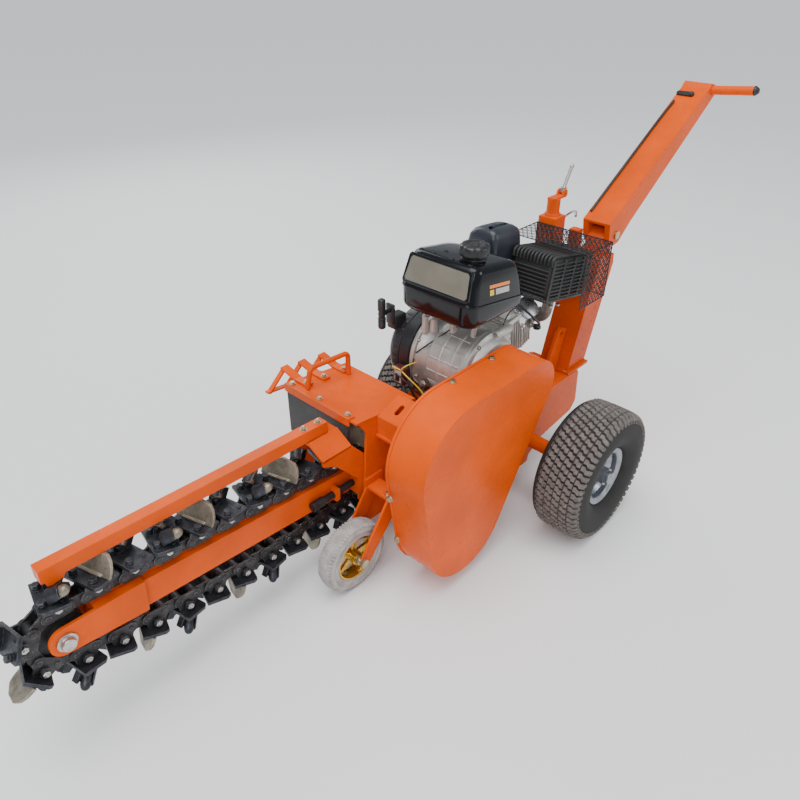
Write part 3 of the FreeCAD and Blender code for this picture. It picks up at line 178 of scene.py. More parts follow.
# ------------------------------------------------------------------ materials
def enamel(name, colour, shade=0.8):
    """Glossy enamel: slight orange peel, drifts of tone and specks of light dust."""
    made = Shader(name)
    dark = tuple(c * shade for c in colour)
    tone = made.ramp(made.noise(5.0, 4.0), 0.38, 0.62)
    base = made.mix(tone, dark, colour)
    specks = made.ramp(made.noise(160.0, 2.0, 0.7), 0.72, 0.82, 0.0, 0.10)
    base = made.mix(specks, base, (0.42, 0.13, 0.05))
    edge = made.math("MULTIPLY", made.edges(0.0012, 0.05, 0.45), made.ramp(made.noise(55.0), 0.50, 0.66))
    base = made.mix(made.math("MULTIPLY", edge, 0.5), base, (0.34, 0.11, 0.04))
    rough = made.ramp(made.noise(22.0, 5.0), 0.3, 0.75, 0.24, 0.36)
    made.bump(made.noise(420.0, 2.0), 0.05, 0.0004, 0.0014)
    return made.finish(base, rough, coat=0.04, coat_roughness=0.06, specular=0.10)


def worn_steel(name, colour, worn, share=0.85, rough=(0.36, 0.6), metal=0.75):
    """Dark oxide steel rubbed bright along its edges, with patches of soil."""
    made = Shader(name)
    tone = made.ramp(made.noise(40.0, 5.0, 0.65), 0.35, 0.7)
    base = made.mix(tone, colour, tuple(min(1.0, c * 2.1 + 0.012) for c in colour))
    edge = made.math("MULTIPLY", made.edges(0.0018), made.ramp(made.noise(90.0, 4.0), 0.36, 0.58))
    base = made.mix(made.math("MULTIPLY", edge, share), base, worn)
    soil = made.ramp(made.noise(28.0, 6.0, 0.7), 0.60, 0.74, 0.0, 0.5)
    base = made.mix(soil, base, (0.16, 0.125, 0.095))
    roughness = made.ramp(made.noise(120.0, 4.0), 0.3, 0.7, rough[0], rough[1])
    made.bump(made.noise(260.0, 5.0, 0.7), 0.35, 0.0006, 0.0010)
    return made.finish(base, roughness, metallic=metal)


def cutter_tan(name):
    """Cutter faces polished pale by soil, with darker stains."""
    made = Shader(name)
    streaks = made.ramp(made.noise(36.0, 6.0, 0.7), 0.35, 0.68)
    base = made.mix(streaks, (0.15, 0.130, 0.100), (0.38, 0.335, 0.255))
    stains = made.ramp(made.noise(70.0, 5.0, 0.75), 0.57, 0.70, 0.0, 0.8)
    base = made.mix(stains, base, (0.075, 0.068, 0.062))
    edge = made.edges(0.0022)
    base = made.mix(made.math("MULTIPLY", edge, 0.7), base, (0.62, 0.56, 0.45))
    made.bump(made.noise(240.0, 5.0), 0.3, 0.0005, 0.0016)
    return made.finish(base, made.ramp(streaks, 0.0, 1.0, 0.5, 0.34), metallic=0.55)


def bright(name, colour=(0.60, 0.59, 0.56), rough=0.26):
    """Zinc-plated steel with a faint brushed break-up."""
    made = Shader(name)
    tone = made.ramp(made.noise(75.0, 4.0), 0.35, 0.7)
    base = made.mix(tone, tuple(c * 0.72 for c in colour), colour)
    made.bump(made.noise(500.0, 3.0), 0.12, 0.0003, 0.0007)
    return made.finish(base, made.ramp(tone, 0.0, 1.0, rough + 0.16, rough), metallic=0.95)


def cast_aluminium(name):
    """Sand-cast alloy: pale, grainy, with darker oil-stained drifts."""
    made = Shader(name)
    tone = made.ramp(made.noise(14.0, 5.0, 0.6), 0.32, 0.68)
    base = made.mix(tone, (0.46, 0.44, 0.405), (0.70, 0.685, 0.65))
    stain = made.ramp(made.noise(30.0, 6.0, 0.7), 0.60, 0.75, 0.0, 0.55)
    base = made.mix(stain, base, (0.20, 0.17, 0.14))
    edge = made.edges(0.002)
    base = made.mix(made.math("MULTIPLY", edge, 0.5), base, (0.85, 0.84, 0.82))
    made.bump(made.noise(420.0, 5.0, 0.7), 0.30, 0.0006, 0.0022)
    return made.finish(base, made.ramp(made.noise(90.0), 0.3, 0.7, 0.38, 0.55), metallic=0.62)


def moulded(name, colour, rough, dust=0.25, coat=0.0, radius=0.002, grain=0.12, specular=0.5):
    """Plastic or painted cover with a fine grain and settled dust."""
    made = Shader(name)
    drift = made.ramp(made.noise(9.0, 5.0), 0.42, 0.72, 0.0, dust)
    base = made.mix(drift, colour, tuple(c * 1.8 + 0.02 for c in colour))
    edge = made.math("MULTIPLY", made.edges(radius * 0.8), 0.35)
    base = made.mix(edge, base, tuple(c * 2.4 + 0.03 for c in colour))
    made.bump(made.noise(700.0, 3.0), grain, 0.0003, radius)
    return made.finish(base, made.ramp(made.noise(18.0, 4.0), 0.3, 0.75, rough * 0.8, rough * 1.3), coat=coat,
                       specular=specular)


def rubber(name, colour, dusty, dust=(0.40, 0.70), scale=26.0, rough=0.72):
    """Rubber with dust rubbed into its surface."""
    made = Shader(name)
    drift = made.ramp(made.noise(scale, 6.0, 0.7), dust[0], dust[1])
    base = made.mix(drift, colour, dusty)
    made.bump(made.noise(520.0, 4.0, 0.7), 0.35, 0.0005, 0.0009)
    return made.finish(base, made.ramp(drift, 0.0, 1.0, rough, min(1.0, rough + 0.2)), specular=0.35)


ORANGE = (0.80, 0.094, 0.0010)
MATERIALS = {
    "orange": enamel("orange_enamel", ORANGE),
    # the column's enamel is the orange enamel darkened as painted shade: the same paint, made darker for the
    # column's shaded front
    "column": enamel("column_enamel_painted_shade", (0.70, 0.074, 0.0010)),
    "chain": worn_steel("chain_steel", (0.030, 0.030, 0.032), (0.42, 0.39, 0.36)),
    "base": worn_steel("base_steel", (0.026, 0.028, 0.034), (0.30, 0.29, 0.29), 0.7),
    "tan": cutter_tan("cutter_tan"),
    "tooth": worn_steel("tooth_steel", (0.15, 0.13, 0.10), (0.50, 0.45, 0.36), 0.6),
    "bright": bright("zinc_plate"),
    "polished": bright("polished_plate", (0.86, 0.88, 0.91), 0.16),
    "yellow_zinc": bright("yellow_zinc", (0.58, 0.52, 0.36), 0.26),
    "silver": bright("silver_paint", (0.36, 0.38, 0.41), 0.28),
    "gold": bright("gold_zinc", (0.80, 0.53, 0.09), 0.20),
    "black_steel": worn_steel("black_steel", (0.016, 0.016, 0.017), (0.12, 0.115, 0.11), 0.6, metal=0.4),
    "alloy": cast_aluminium("cast_alloy"),
    "tank": moulded("tank_gloss", (0.0040, 0.0045, 0.0062), 0.12, 0.08, 0.1, 0.003, 0.02, 0.26),
    "black": moulded("black_plastic", (0.013, 0.013, 0.0145), 0.36, 0.3),
    "blue_black": moulded("air_cover", (0.020, 0.024, 0.034), 0.34, 0.25, 0.0, 0.003),
    "guard": moulded("heat_black", (0.018, 0.018, 0.018), 0.55, 0.45, 0.0, 0.0018, 0.3),
    "panel": moulded("tank_panel", (0.150, 0.135, 0.105), 0.13, 0.35, 0.5, 0.003, 0.03),
    "wire_yellow": moulded("wire_yellow", (0.60, 0.44, 0.03), 0.4, 0.2),
    "exhaust": worn_steel("exhaust_steel", (0.155, 0.135, 0.120), (0.38, 0.33, 0.29), 0.5),
    "label_orange": moulded("label_orange", (0.85, 0.22, 0.02), 0.3, 0.1),
    "label_pale": moulded("label_pale", (0.42, 0.42, 0.40), 0.35, 0.3),
    "label_yellow": moulded("label_yellow", (0.75, 0.52, 0.03), 0.3, 0.1),
    "maroon": moulded("maroon_plastic", (0.075, 0.010, 0.012), 0.35),
    "carcass": rubber("tyre_carcass", (0.016, 0.0155, 0.015), (0.036, 0.033, 0.031)),
    # the lugs' rubber is lighter than the carcass: partly dust on the treads and partly painted light on the
    # lit tread tops
    "lug": rubber("tyre_lug_dust_and_painted_light", (0.085, 0.075, 0.070), (0.175, 0.155, 0.143), (0.35, 0.6), 60.0, 0.8),
    "grey": rubber("grey_rubber", (0.30, 0.285, 0.275), (0.46, 0.44, 0.42), (0.35, 0.65), 40.0, 0.75),
    "flap": rubber("flap_rubber", (0.040, 0.041, 0.042), (0.085, 0.082, 0.078), (0.4, 0.7), 16.0, 0.6),
}
CAD_LOOKS = {
    "orange": ("chassis_frame", "head_housing", "deck_plate", "deck_clamp_strip", "deck_handle",
               "auger_guard", "slot_bracket", "belt_guard", "guard_back_plate", "wheel_fork", "rear_axle",
               "hand_pump", "boom_mount", "boom_beam", "boom_tip", "restraint_bar", "restraint_arm",
               "spoil_auger", "handle_arm", "grip_bar"),
    # the column node takes the darkened copy of the orange enamel, which is painted shade
    "column": ("column",),
    "chain": ("digging_chain", "drive_sprocket", "driven_sprocket", "drive_chain"),
    "base": ("cutter_bases",),
    "tan": ("flag_cutters", "cup_cutters"),
    "yellow_zinc": ("frame_bolts",),
    "bright": ("nose_bolt", "head_shaft", "jack_shaft", "shaft_bearings", "hydraulic_pipe",
               "pump_lever"),
    "silver": ("near_rim", "far_rim"),
    "gold": ("front_rim",),
    "black_steel": ("tension_bolt", "nose_roller", "jack_pulley", "engine_pulley", "throttle_lever"),
    "alloy": ("crankcase", "cylinder"),
    "tank": ("fuel_tank",),
    "black": ("fuel_cap", "recoil_housing", "recoil_handle", "throttle_cable", "ignition_wires", "v_belts"),
    "blue_black": ("air_cleaner",),
    "guard": ("muffler", "mesh_guard"),
    "maroon": ("switch_box",),
    "flap": ("rubber_flap",),
    "grey": ("front_tyre",),
    "carcass": ("near_tyre", "far_tyre"),
}


def paint_frame():
    """Give every CAD node its own material."""
    for look, names in CAD_LOOKS.items():
        for name in names:
            mesh = NODES[name].data
            mesh.materials.clear()
            mesh.materials.append(MATERIALS[look])


# ------------------------------------------------------------------ mesh helpers
def piece(name, mesh, look, body, smooth=35.0):
    """Put a mesh in the scene as a named piece; it rides on a body unless that is None."""
    obj = bpy.data.objects.new(name, mesh)
    bpy.context.scene.collection.objects.link(obj)
    looks = look if isinstance(look, (list, tuple)) else [look]
    for item in looks:
        mesh.materials.append(MATERIALS[item])
    if smooth:
        mesh.shade_smooth()
        mesh.set_sharp_from_angle(angle=math.radians(smooth))
    if body:
        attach(obj, body)
    return obj


def from_bmesh(name, work):
    """Mesh made from a bmesh, which is freed."""
    mesh = bpy.data.meshes.new(name)
    bmesh.ops.recalc_face_normals(work, faces=work.faces)
    work.to_mesh(mesh)
    work.free()
    return mesh


def smooth_points(points, steps):
    """Catmull-Rom line through points of two or three coordinates."""
    points = [Vector(p) for p in points]
    count = len(points)
    line = []
    for i in range(count - 1):
        a, b, c, d = (points[max(0, min(count - 1, i + k - 1))] for k in range(4))
        for k in range(steps):
            u = k / steps
            line.append(0.5 * (2 * b + (c - a) * u + (2 * a - 5 * b + 4 * c - d) * u * u
                               + (3 * b - a - 3 * c + d) * u ** 3))
    line.append(points[-1].copy())
    return line


def bridge(work, lower, upper):
    """Faces between two rings, either of which may be a single point."""
    count = max(len(lower), len(upper))
    for k in range(count):
        j = (k + 1) % count
        if len(lower) == 1:
            work.faces.new((lower[0], upper[k], upper[j]))
        elif len(upper) == 1:
            work.faces.new((lower[k], lower[j], upper[0]))
        else:
            work.faces.new((lower[k], lower[j], upper[j], upper[k]))


def skin(work, rings):
    """Walls between stacked rings, with a face at either end."""
    for lower, upper in zip(rings, rings[1:]):
        bridge(work, lower, upper)
    work.faces.new(rings[0])
    work.faces.new(rings[-1])


def lathe(work, profile, centre, segments=96):
    """Revolve a closed (along, radius) outline in millimetres about the Y line through centre."""
    rings = []
    for k in range(segments):
        spin = spoke(2 * math.pi * k / segments)
        rings.append([work.verts.new(centre + FAR * (y * MM) + spin * (r * MM)) for y, r in profile])
    for k in range(segments):
        bridge(work, rings[k], rings[(k + 1) % segments])
    return work


paint_frame()


# ------------------------------------------------------------------ wheels
LUG_SPACING = 23.0
SHOULDER = 67.2
TREAD_EDGE = 73.5
FRONT_CROWN = 0.0095


def wheel_size(box):
    """Centre of a wheel, and its outside radius and half width in millimetres."""
    low, high = box
    return (low + high) / 2, (high.z - low.z) / 2 / MM, (high.y - low.y) / 2 / MM


def crown_outline(radius, half, bead):
    """Half of a turf tyre's outside, from the bead over the sidewall to the middle of the crown."""
    return smooth_points([
        (-half + 27, bead), (-half + 16, bead + 6), (-half + 6, bead + 22), (-half + 0.8, bead + 44),
        (-half + 1.5, radius - 42), (-half + 5, radius - 24), (-half + 13, radius - 12),
        (-half + 26, radius - 8), (-half + 45, radius - 6.6), (0, radius - 6)], 5)


def turf_tyre(node, body, flip):
    """Tyre carcass with rows of wavy turf lugs round it."""
    centre, radius, half = wheel_size(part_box(node))
    bead = 85.0
    outside = crown_outline(radius, half, bead)
    mirrored = [(-y, r) for y, r in reversed(outside[:-1])]
    inside = [(half - 32, bead - 14), (half - 45, bead - 14), (half - 52, bead + 10), (20, radius - 24),
              (-20, radius - 24), (-half + 52, bead + 10), (-half + 45, bead - 14), (-half + 32, bead - 14)]
    work = lathe(bmesh.new(), outside + mirrored + inside, centre, 120)
    tyre = piece(node + "_carcass", from_bmesh(node + "_carcass", work), "carcass", body)
    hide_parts(node)

    full = outside + mirrored
    ys = [p[0] for p in full]

    def surface(y, lift):
        """Radius and side position of a point lift above the carcass at side position y."""
        i = max(k for k in range(len(ys) - 1) if ys[k] <= y or k == 0)
        (y0, r0), (y1, r1) = full[i], full[i + 1]
        share = (y - y0) / (y1 - y0)
        normal = Vector((-(r1 - r0), y1 - y0)).normalized()
        return y + normal.x * lift, r0 + (r1 - r0) * share + normal.y * lift

    rows = 60
    columns = 6
    work = bmesh.new()
    for index in range(columns):
        column = (index - (columns - 1) / 2) * LUG_SPACING
        for row in range(rows):
            around = (row + 0.5 * (index % 2)) * 2 * math.pi / rows
            lug(work, centre, surface, column, around, radius, flip)
    for side in (-1, 1):
        for row in range(rows):
            around = (row + (0.5 if side > 0 else 0.0)) * 2 * math.pi / rows
            shoulder_lug(work, centre, surface, side, around, radius)
    # the lugs use a rubber lighter than the carcass: partly dust, partly painted light on the tread tops
    lugs = piece(node + "_lugs", from_bmesh(node + "_lugs", work), "lug", body, 25)


def front_tyre():
    """Solid grey tyre: rounded tread cut into small slanted blocks, with stepped sidewalls."""
    centre, radius, half = wheel_size(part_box("front_tyre"))
    bead = 62.5
    side = [(half - 5.5, bead), (half - 2.0, bead + 3), (half - 1.6, bead + 9), (half - 3.2, bead + 10.5),
            (half - 3.0, bead + 16), (half - 0.4, bead + 18), (half - 0.6, radius - 16),
            (half - 3.0, radius - 10), (half - 7.5, radius - 5.2), (half - 14, radius - 2.6),
            (5, radius - 1.7)]
    outside = smooth_points(side, 3)
    full = outside + [(-y, r) for y, r in reversed(outside)]
    inside = [(-half + 6.5, bead - 0.2), (half - 6.5, bead - 0.2)]
    work = lathe(bmesh.new(), full + inside, centre, 96)
    tyre = piece("front_tyre_body", from_bmesh("front_tyre_body", work), "grey", "front_wheel", 40)
    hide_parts("front_tyre")

    work = bmesh.new()
    rows = 64
    for row in range(rows):
        for column, slant in ((-17.5, 1.6), (-6.0, -1.6), (6.0, 1.6), (17.5, -1.6)):
            around = (row + (0.5 if abs(column) < 10 else 0.0)) * 2 * math.pi / rows
            tread_block(work, centre, column, slant, around, radius)
    blocks = piece("front_tyre_tread", from_bmesh("front_tyre_tread", work), "grey", "front_wheel", 25)


def tread_block(work, centre, column, slant, around, radius):
    """Small slanted block standing on the rounded tread."""
    wide = 4.4
    long = 3.3
    rings = []
    for lift, shrink in ((-3.0, 0.0), (1.0, 0.2), (1.6, 0.9)):
        ring = []
        for across, along in ((-wide, -long), (wide, -long), (wide, long), (-wide, long)):
            y = column + across * (1 - shrink / wide)
            angle = around + (along * (1 - shrink / long) + slant * across / wide) / radius
            reach = radius - 1.7 - FRONT_CROWN * y * y + lift
            ring.append(work.verts.new(centre + FAR * (y * MM) + spoke(angle) * (reach * MM)))
        rings.append(ring)
    skin(work, rings)


def lug(work, centre, surface, column, around, radius, flip):
    """One wavy block: its two halves are shifted opposite ways round the tyre."""
    wide = 10.4
    long = 6.6
    shift = 3.0 * flip
    outline = [(-wide, -long + shift), (-2, -long + shift), (2, -long - shift), (wide, -long - shift),
               (wide, long - shift), (2, long - shift), (-2, long + shift), (-wide, long + shift)]
    block(work, centre, surface, column, around, radius, outline, 5.9)


def shoulder_lug(work, centre, surface, side, around, radius):
    """Small block on the shoulder, at the end of each row."""
    outline = [(-3.0, -5.4), (3.0, -5.4), (3.0, 5.4), (-3.0, 5.4)]
    block(work, centre, surface, side * SHOULDER, around, radius, outline, 2.6)


def block(work, centre, surface, column, around, radius, outline, height):
    """A raised block with sloping walls that follows the tyre's surface."""
    rings = []
    for lift, grow in ((-1.0, 1.06), (height * 0.82, 0.98), (height, 0.88)):
        ring = []
        for across, along in outline:
            y, r = surface(max(-TREAD_EDGE, min(TREAD_EDGE, column + across * grow)), lift)
            angle = around + along * grow / radius
            ring.append(work.verts.new(centre + FAR * (y * MM) + spoke(angle) * (r * MM)))
        rings.append(ring)
    skin(work, rings)


turf_tyre("near_tyre", "near_wheel", 1)
turf_tyre("far_tyre", "far_wheel", -1)
front_tyre()


# ------------------------------------------------------------------ shaped pieces
def add_box(work, low, high, soft=1.5, turn=None, about=None, steps=2):
    """A box between two corners with rounded edges; turn is a rotation matrix about a point."""
    low = Vector(low)
    high = Vector(high)
    cube = bmesh.ops.create_cube(work, size=1.0)
    verts = cube["verts"]
    size = high - low
    for v in verts:
        v.co = Vector((v.co.x * size.x, v.co.y * size.y, v.co.z * size.z)) + (low + high) / 2
    edges = list({e for v in verts for e in v.link_edges})
    soft = min(soft, min(size) * 0.45)
    if soft > 0.05:
        made = bmesh.ops.bevel(work, geom=edges, offset=soft, segments=steps, profile=0.5, affect="EDGES")
        verts = list({v for f in made["faces"] for v in f.verts} | {v for v in verts if v.is_valid})
    settle(verts, turn, about)


def settle(verts, turn=None, about=None):
    """Turn vertices given in axle-line millimetres and move them to the frame's metres."""
    centre = Vector(about) if about else Vector((0, 0, 0))
    for v in verts:
        spot = Vector(v.co)
        if turn:
            spot = turn @ (spot - centre) + centre
        v.co = at(*spot)


def axes_for(direction):
    """Two unit vectors square to a direction."""
    along = Vector(direction).normalized()
    side = along.orthogonal().normalized()
    return along, side, along.cross(side)


def add_round(work, base, direction, profile, segments=32, squash=None):
    """Solid of revolution: profile holds (distance along, radius) pairs from end to end."""
    along, side, other = axes_for(direction)
    base = Vector(base)
    rings = []
    for distance, radius in profile:
        if radius <= 0.001:
            rings.append([work.verts.new(base + along * distance)])
            continue
        ring = []
        for k in range(segments):
            angle = 2 * math.pi * k / segments
            reach = radius * (squash(angle) if squash else 1.0)
            ring.append(work.verts.new(base + along * distance + (side * math.cos(angle)
                                                                   + other * math.sin(angle)) * reach))
        rings.append(ring)
    for lower, upper in zip(rings, rings[1:]):
        bridge(work, lower, upper)
    for ring in (rings[0], rings[-1]):
        if len(ring) > 1:
            work.faces.new(ring)
    for ring in rings:
        settle(ring)


def peg(radius, shoulder, tip, height):
    """Profile of a solid peg: straight up to its shoulder, then narrowing to its tip."""
    return [(0, 0), (0, radius), (shoulder, radius), (height, tip), (height, 0)]


def add_bolt(work, base, direction, size=6.0, height=5.0):
    """Hexagon-headed bolt with its washer."""
    add_round(work, base, direction, peg(size * 1.35, 1.4, size * 1.2, 1.6), 24)
    add_round(work, Vector(base) + Vector(direction).normalized() * 1.5, direction,
              peg(size, height * 0.8, size * 0.86, height), 6)


def add_tube(work, points, radius, segments=12, steps=6, taper=None):
    """Round tube along a smooth line through given points."""
    line = smooth_points(points, steps)
    count = len(line)
    tangent = (line[1] - line[0]).normalized()
    side = tangent.orthogonal().normalized()
    rings = []
    for k, spot in enumerate(line):
        ahead = (line[min(count - 1, k + 1)] - line[max(0, k - 1)]).normalized()
        side = (side - ahead * side.dot(ahead)).normalized()
        other = ahead.cross(side)
        reach = radius if taper is None else radius * taper(k / (count - 1))
        rings.append([work.verts.new(spot + (side * math.cos(2 * math.pi * n / segments)
                                             + other * math.sin(2 * math.pi * n / segments)) * reach)
                      for n in range(segments)])
    skin(work, rings)
    for ring in rings:
        settle(ring)


def rounded_rectangle(x0, x1, y0, y1, radius, steps=5):
    """Corner-rounded rectangle as (x, y) pairs; radius may differ at each corner."""
    radii = radius if isinstance(radius, (list, tuple)) else [radius] * 4
    spots = []
    for (cx, cy, sx, sy, start), r in zip(((x0, y0, 1, 1, math.pi), (x1, y0, -1, 1, 1.5 * math.pi),
                                           (x1, y1, -1, -1, 0.0), (x0, y1, 1, -1, 0.5 * math.pi)), radii):
        for k in range(steps + 1):
            angle = start + k / steps * math.pi / 2
            spots.append((cx + sx * r + r * math.cos(angle), cy + sy * r + r * math.sin(angle)))
    return spots


def add_loft(work, sections, about=None, turn=None):
    """Skin through stacked closed sections, each a list of points with the same count."""
    rings = [[work.verts.new(Vector(p)) for p in section] for section in sections]
    skin(work, rings)
    for ring in rings:
        settle(ring, turn, about)


def finish_piece(name, work, look, body, smooth=35.0):
    """Make a bmesh into a named piece with its look and body."""
    obj = piece(name, from_bmesh(name, work), look, body, smooth)
    return obj


# ------------------------------------------------------------------ fuel tank
TANK_LEFT = -290.0
TANK_RIGHT = -57.0
TANK_NEAR = -80.0
TANK_FAR = 155.0
SEAM = 699.0
SEAM_DROP = -0.15


def tank_section(height, inset_left, inset_near, inset_right, inset_far, drop, corner):
    """One level of the tank: a rounded rectangle whose right end sits lower than its left."""
    outline = rounded_rectangle(TANK_LEFT + inset_left, TANK_RIGHT - inset_right, TANK_NEAR + inset_near,
                                TANK_FAR - inset_far, corner, 6)
    return [(x, y, height + drop * (x - TANK_LEFT)) for x, y in outline]


def fuel_tank():
    """Pressed two-shell tank: deep lower pan, rolled seam, sloping upper shell with a framed front panel."""
    corner = (34, 30, 26, 34)
    work = bmesh.new()
    levels = [
        (630, 38, 32, 28, 32, 0.0, (18, 18, 18, 18)), (631, 26, 20, 18, 22, 0.0, (24, 24, 20, 24)),
        (636, 12, 8, 8, 10, 0.0, (30, 28, 24, 30)), (645, 4, 3, 3, 4, 0.0, corner),
        (652, 2.5, 2, 2, 2.5, -0.02, corner), (SEAM - 3, 2, 2, 2, 2, SEAM_DROP, corner)]
    add_loft(work, [tank_section(*level) for level in levels])
    rise = 92.0
    upper = [
        (SEAM + 1.5, 2.5, 2.5, 2.5, 2.5, SEAM_DROP, corner), (SEAM + 5, 4, 3, 4, 3.5, SEAM_DROP, corner),
        (SEAM + rise * 0.45, 15, 6, 14, 7, SEAM_DROP, (30, 26, 30, 34)),
        (SEAM + rise * 0.82, 27, 10, 28, 13, SEAM_DROP, (26, 22, 38, 34)),
        (SEAM + rise * 0.92, 31, 13.5, 36, 17, SEAM_DROP, (24, 20, 40, 32)),
        (SEAM + rise * 0.975, 38, 20, 44, 24, SEAM_DROP, (20, 18, 38, 28)),
        (SEAM + rise, 52, 34, 60, 40, SEAM_DROP, (14, 14, 30, 20))]
    add_loft(work, [tank_section(*level) for level in upper])
    tank = finish_piece("tank_shell", work, "tank", "chassis", 50)
    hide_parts("fuel_tank")

    work = bmesh.new()
    seam = ((SEAM - 3.2, 0.4), (SEAM - 2.4, 0.0), (SEAM + 0.6, 0.0), (SEAM + 1.6, 0.6))
    add_loft(work, [tank_section(height, *[inset] * 4, SEAM_DROP, corner) for height, inset in seam])
    finish_piece("tank_seam", work, "tank", "chassis", 50)

    work = bmesh.new()
    for share in (0.10, 0.34, 0.58, 0.82):
        y = min(TANK_FAR + (TANK_NEAR - TANK_FAR) * share, TANK_FAR - 40)
        add_round(work, (-243, y, 779), UP, peg(5.5, 5.0, 4.0, 6.4), 16)
    add_round(work, (-205, 70, 774), UP, peg(7, 5, 6, 5.8), 16)
    finish_piece("tank_studs", work, "tank", "chassis")
    front_panel()
    warning_plate()


def front_panel():
    """Raised frame and glossy field on the tank's sloping front."""
    slope = Vector((25, 0, 74)).normalized()
    out = Vector((-slope.z, 0, slope.x))
    root = Vector((TANK_LEFT + 5.0, 0, SEAM + 7))

    def spot(y, up, lift):
        return root + slope * up + out * lift + Vector((0, y, 0))

    def outline(shrink, lift):
        near, far, low, high = TANK_NEAR + 14 + shrink, TANK_FAR - 16 - shrink, shrink, 76 - shrink
        lean = 10
        pairs = [(far + 2, low + 6), (far - 3, low), (near + 3, low), (near - 2, low + 6),
                 (near + lean * 0.5, high - 6), (near + lean, high), (far - lean, high),
                 (far - lean * 0.5, high - 6)]
        return [spot(y, up, lift) for y, up in pairs]

    frame_levels = ((0, -4.0), (0, 1.6), (1.2, 2.6), (5.5, 2.8), (7.0, 1.2))
    field_levels = ((7.2, -2.0), (7.2, 1.7), (8.5, 2.0))
    work = bmesh.new()
    add_loft(work, [outline(*level) for level in frame_levels])
    finish_piece("tank_panel_frame", work, "tank", "chassis")
    work = bmesh.new()
    add_loft(work, [outline(*level) for level in field_levels])
    finish_piece("tank_panel", work, "panel", "chassis")


def warning_plate():
    """Blank orange band, pale block and yellow mark where a rating label would be, with no lettering."""
    lean = 7.0 / 75
    for name, look, x0, x1, low, high in (("label_band", "label_orange", -212, -132, 38, 46),
                                          ("label_block", "label_pale", -188, -134, 20, 34),
                                          ("label_mark", "label_yellow", -211, -196, 20, 34)):
        work = bmesh.new()
        rings = []
        for lift in (-1.5, 0.9):
            ring = []
            for x, up in ((x0, low), (x1, low), (x1, high), (x0, high)):
                z = SEAM + SEAM_DROP * (x - TANK_LEFT) + up
                ring.append((x, TANK_NEAR + 2.4 + up * lean - lift, z))
            rings.append(ring)
        add_loft(work, rings)
        finish_piece(name, work, look, "chassis", 0)


def fuel_cap():
    """Lobed screw cap with a domed middle on its neck ring."""
    low, high = in_millimetres(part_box("fuel_cap"))
    base = Vector(((low.x + high.x) / 2, (low.y + high.y) / 2, low.z))
    reach = min(high.x - low.x, high.y - low.y) / 2
    tall = high.z - low.z

    def lobed(angle):
        return 1.0 - 0.085 * max(0.0, math.cos(6 * angle)) ** 2

    work = bmesh.new()
    add_round(work, base, UP, [
        (0.2, reach * 0.66), (0.2, reach * 0.90), (1.6, reach * 0.93), (4, reach * 0.93), (4.4, reach * 0.99),
        (tall * 0.72, reach * 0.99), (tall * 0.86, reach * 0.94), (tall * 0.94, reach * 0.82),
        (tall * 0.95, reach * 0.58), (tall * 0.90, reach * 0.52), (tall * 0.90, reach * 0.30),
        (tall * 0.99, reach * 0.26), (tall * 0.99, 0)], 96, lobed)
    cap = finish_piece("filler_cap", work, "black", "fuel_cap", 40)
    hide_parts("fuel_cap")
    work = bmesh.new()
    add_round(work, base - UP * 9, UP, [(0, 0), (0, 31), (5, 31), (7.5, 28), (9, 28), (9, 0)], 48)
    finish_piece("filler_neck", work, "black", "chassis")


# ------------------------------------------------------------------ air cleaner and exhaust
def air_cleaner():
    """Rounded intake cover with a waist, on its elbow."""
    low, high = in_millimetres(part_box("air_cleaner"))
    longer = 34
    x0, x1 = low.x, high.x + longer
    y0, y1 = low.y, high.y
    top = high.z
    work = bmesh.new()
    levels = [(646, 8, 8, 0.0), (650, 3, 3, 0.0), (662, 1.5, 1.5, 0.0), (664, 4, 4, 0.0), (668, 4, 4, 0.0),
              (670, 1.0, 1.0, 0.0), (720, 2.5, 4, 0.0), (750, 5, 10, -0.02), (766, 9, 22, -0.05),
              (774, 17, 36, -0.06), (777.5, 32, 52, -0.07)]
    sections = []
    for z, inset, far_inset, drop in levels:
        outline = rounded_rectangle(x0 + inset, x1 - inset, y0 + inset, y1 - far_inset, (16, 18, 22, 26), 6)
        sections.append([(x, y, min(top - 0.2, z + drop * (x - x0) * 1.6)) for x, y in outline])
    add_loft(work, sections)
    add_box(work, (6, 82, 580.5), (54, 124, 648), 10, steps=4)
    add_round(work, (40, 108, 774), UP, [(-6, 0), (-6, 9), (1.5, 9), (2.6, 6), (2.6, 0)], 6)
    cover = finish_piece("intake_cover", work, "blue_black", "chassis", 45)
    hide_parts("air_cleaner")


def silencer():
    """Silencer box under a ribbed and barred heat guard."""
    centre = Vector((154, 0, 643))
    fall = tilt(11)
    near = -80.0
    far = 58.0

    def bar(x0, x1, y0, y1, z0, z1, soft, steps=2):
        low = (centre.x + x0, y0, centre.z + z0)
        high = (centre.x + x1, y1, centre.z + z1)
        add_box(work, low, high, soft, fall, tuple(centre), steps)

    work = bmesh.new()
    bar(-98, 98, near + 6, far - 5, -57, 57, 14, 4)
    finish_piece("silencer", work, "guard", "chassis")

    work = bmesh.new()
    ribs = 12
    pitch = (far - near - 6) / ribs
    for k in range(ribs):
        guard_rib(work, near + 3 + pitch * (k + 0.5), pitch * 0.64, centre, fall)
    for k in range(10):
        z = -54 + 10.4 * k
        for x0, x1 in ((-92, -44), (-38, 10), (16, 58), (64, 98)):
            bar(x0, x1, near + 0.2, near + 5.0, z, z + 4.6, 1.8)
        if k < 8:
            bar(-105.6, -101, near + 14, far - 8, z, z + 3.4, 1.5)
    for x0, x1 in ((-101, -90), (-46, -36), (8, 18), (56, 66), (94, 104)):
        bar(x0, x1, near + 1.6, near + 6, -60, 52, 2)
    bar(-103, 105, near + 0.6, near + 8, -63.5, -55, 3)
    bar(-105.6, -99, near + 6, far - 3, -63, -55, 2)
    guard = finish_piece("heat_guard", work, "guard", "chassis", 40)
    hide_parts("muffler")


